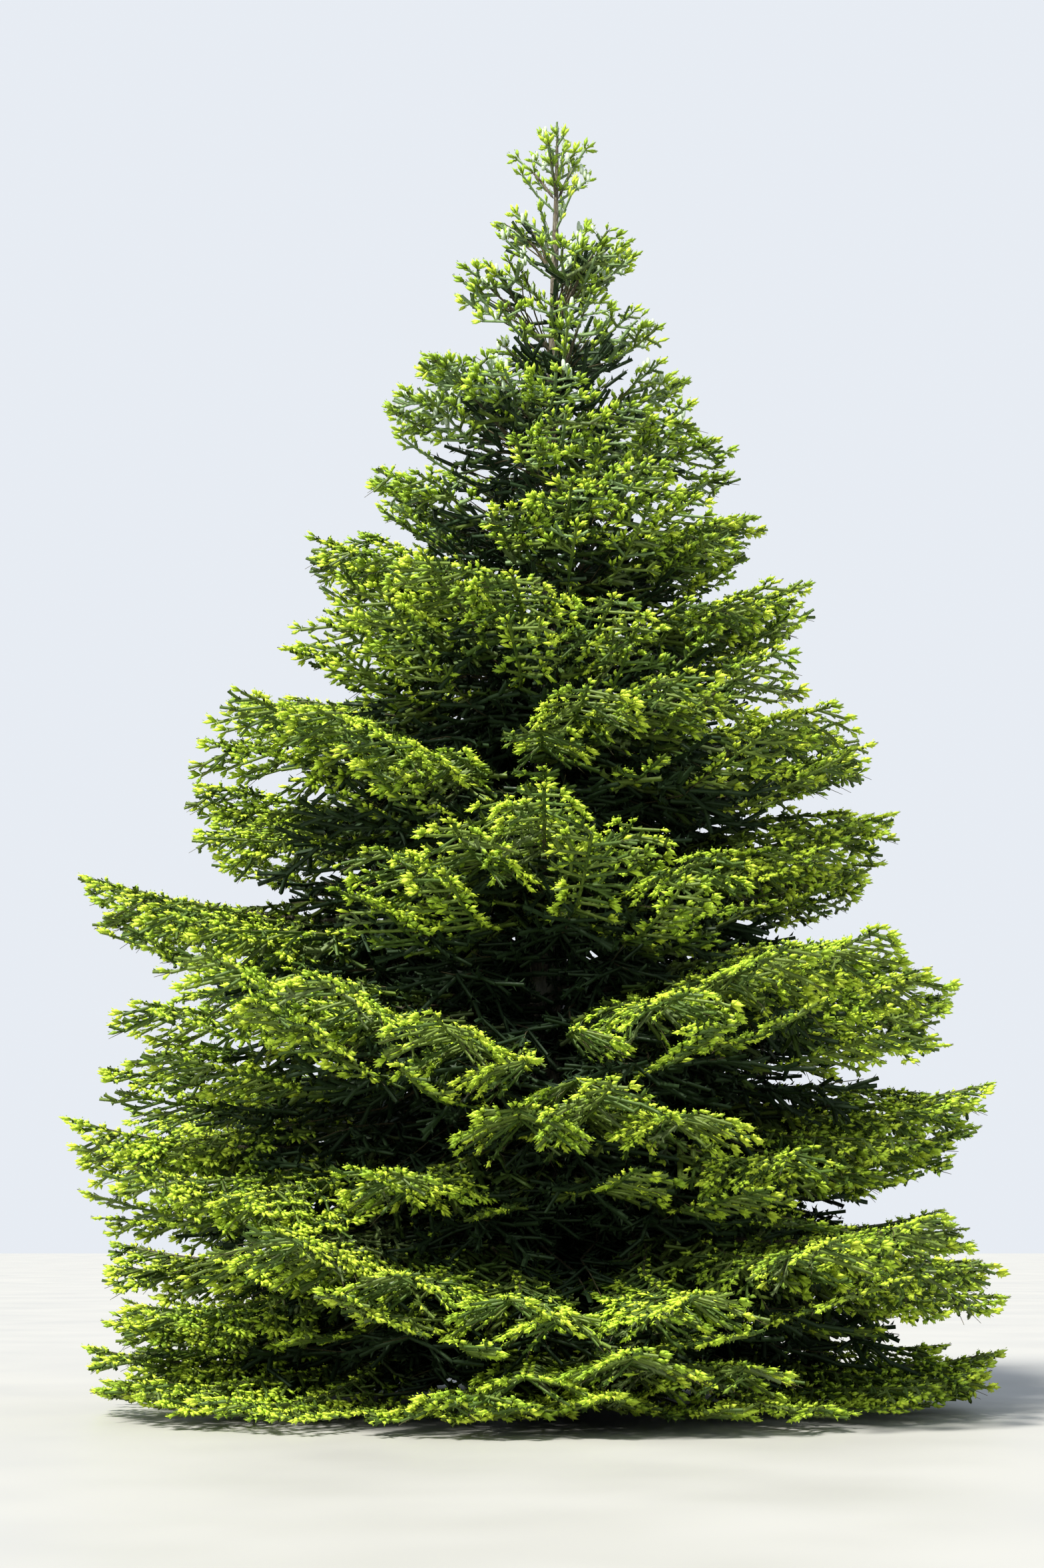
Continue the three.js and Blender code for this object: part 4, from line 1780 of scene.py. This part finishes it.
            # Painted shade: the inner twigs take the near-black needles
            spray = Spray(shaft, random, random.pick(OLD_TINTS[2]), Tint.SHADED, 0.0, COARSE)
            forward = UP if random.next() < shaft.upright else UP.cross(outward)
            if len(line) > 1:
                self.dress(spray, line, [heading] * (len(line) - 1), forward)
            height += shaft.step * random.between(*STEPS)
            turned += GOLDEN_ANGLE

    def clothe_top(self, top: Top) -> None:
        """Grows the short branches on the last stretch of the trunk.

        Args:
            top: That stretch.
        """
        random, turned, height = Seeded(top.seed), 0.0, top.first
        unit = self.unit * top.coarse
        while height < top.last:
            steps = max(1, round(top.length(height) / unit))
            azimuth = turned + random.around(top.turn_jitter)
            outward = Vector((math.cos(azimuth), math.sin(azimuth), 0.0))
            spray = Spray(top, random, *self.tints(0, 1.0, random), 1.0, top.coarse, 1.0)
            point = Vector((*top.trunk.axis(height), height))
            line, headings = [point], []
            for i in range(steps):
                rise = math.radians(top.rise + top.curl * i / steps + random.around(top.rise_jitter))
                heading = outward * math.cos(rise) + UP * math.sin(rise)
                if not top.holds(point + heading * unit):
                    break
                point = point + heading * unit
                headings.append(heading)
                line.append(point)
            if headings:
                self.dress(spray, line, headings, UP)
            if height > top.clad:
                self.needles(spray, Stand(line[0], UP, UP.cross(outward), outward), 0.9)
            height += top.step * random.between(*STEPS) * (top.crowding if height > top.clad else 1.0)
            turned += GOLDEN_ANGLE


# Studio


@dataclass
class Studio:
    """A pale floor, soft light and a camera that looks up at the tree from eye height."""

    distance: float = 24.0
    aside: float = -0.266
    eye: float = 1.6
    pitch: float = 10.38
    focal_pixels: float = 3700.0
    image_height: float = 2355.0
    sensor: float = 36.0
    floor_size: float = 400.0
    floor_colour: Colour = (0.44, 0.435, 0.415)
    floor_patches: float = 0.985
    backdrop: Colour = (0.80, 0.84, 0.90)
    key_power: float = 7.3
    key_softness: float = 9.0
    key_direction: tuple[float, float, float] = (-0.45, -0.62, 0.95)
    key_colour: Colour = (1.0, 0.97, 0.9)
    fill_power: float = 0.62
    fill_colour: Colour = (0.78, 0.87, 1.0)

    def build(self) -> None:
        """Sets up the floor, the light and the camera."""
        self.floor()
        self.light()
        self.camera()

    def camera(self) -> None:
        """Places the camera in front of the tree."""
        data = bpy.data.cameras.new("camera")
        data.sensor_width = self.sensor
        data.lens = self.focal_pixels / self.image_height * self.sensor
        data.clip_end = 1000.0
        camera = bpy.data.objects.new("camera", data)
        camera.location = (self.aside, -self.distance, self.eye)
        camera.rotation_euler = (math.radians(90 + self.pitch), 0.0, 0.0)
        bpy.context.scene.collection.objects.link(camera)
        bpy.context.scene.camera = camera

    def floor(self) -> None:
        """Lays the floor."""
        clear_selection()
        bpy.ops.mesh.primitive_plane_add(size=self.floor_size, location=(0, 0, 0))
        floor = bpy.context.object
        floor.name = "floor"
        deep = tuple(value * self.floor_patches for value in self.floor_colour) + (1.0,)
        values = {"Deep": deep, "Pale": (*self.floor_colour, 1.0), "Patch": 0.05, "Fleck": 0.4}
        floor.data.materials.append(dressed("floor", ShaderGroups.mottle(), values, 0.0))

    def light(self) -> None:
        """Hangs the key light and lights the room round the tree."""
        key = bpy.data.objects.new("key", bpy.data.lights.new("key", "SUN"))
        key.data.energy = self.key_power
        key.data.angle = math.radians(self.key_softness)
        key.data.color = self.key_colour
        key.rotation_euler = Vector(self.key_direction).to_track_quat("Z", "Y").to_euler()
        bpy.context.scene.collection.objects.link(key)
        world = bpy.data.worlds.new("studio")
        world.use_nodes = True
        bpy.context.scene.world = world
        wiring = Wiring(world.node_tree)
        world.node_tree.nodes.clear()
        room, wall = (
            wiring.add("ShaderNodeBackground", {"Color": (*colour, 1.0), "Strength": power})
            for colour, power in ((self.fill_colour, self.fill_power), (self.backdrop, 1.0))
        )
        seen = wiring.add("ShaderNodeLightPath").outputs["Is Camera Ray"]
        mixed = wiring.add("ShaderNodeMixShader", {0: seen, 1: room.outputs[0], 2: wall.outputs[0]})
        wiring.add("ShaderNodeOutputWorld", {"Surface": mixed.outputs[0]})


def main() -> None:
    """Builds the whole tree and its studio."""
    logging.basicConfig(level=logging.INFO, format="%(message)s")
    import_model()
    trunk = Trunk()
    boughs = Crown(trunk).boughs()
    log.info("trunk: %d faces", len(trunk.build().data.polygons))
    log.info("boughs: %d faces", len(Limbs().build(boughs).data.polygons))
    sprays = Sprays(TwigWood(), Brushes(), Cones())
    for bough in boughs:
        sprays.clothe(bough)
    sprays.clothe_top(Top(trunk))
    sprays.clothe_shaft(Shaft(trunk))
    log.info("brushes: %s", {(a.value, t.value.label): len(r) for (a, t), r in sprays.brushes.rows.items()})
    twigs = sprays.twigs.build()
    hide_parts(*(f"foliage_{bough.label}" for bough in boughs))
    log.info("twigs: %d faces", len(twigs.data.polygons))
    log.info("cones: %d, %d triangles", len(sprays.cones.places), len(sprays.cones.build().data.polygons))
    pieces = sprays.brushes.build()
    log.info("needles: %d triangles", sum(len(piece.data.polygons) for piece in pieces))
    Studio().build()
    bpy.context.scene.view_settings.view_transform = "Standard"
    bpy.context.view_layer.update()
    clear_selection()


if __name__ == "__main__":
    main()
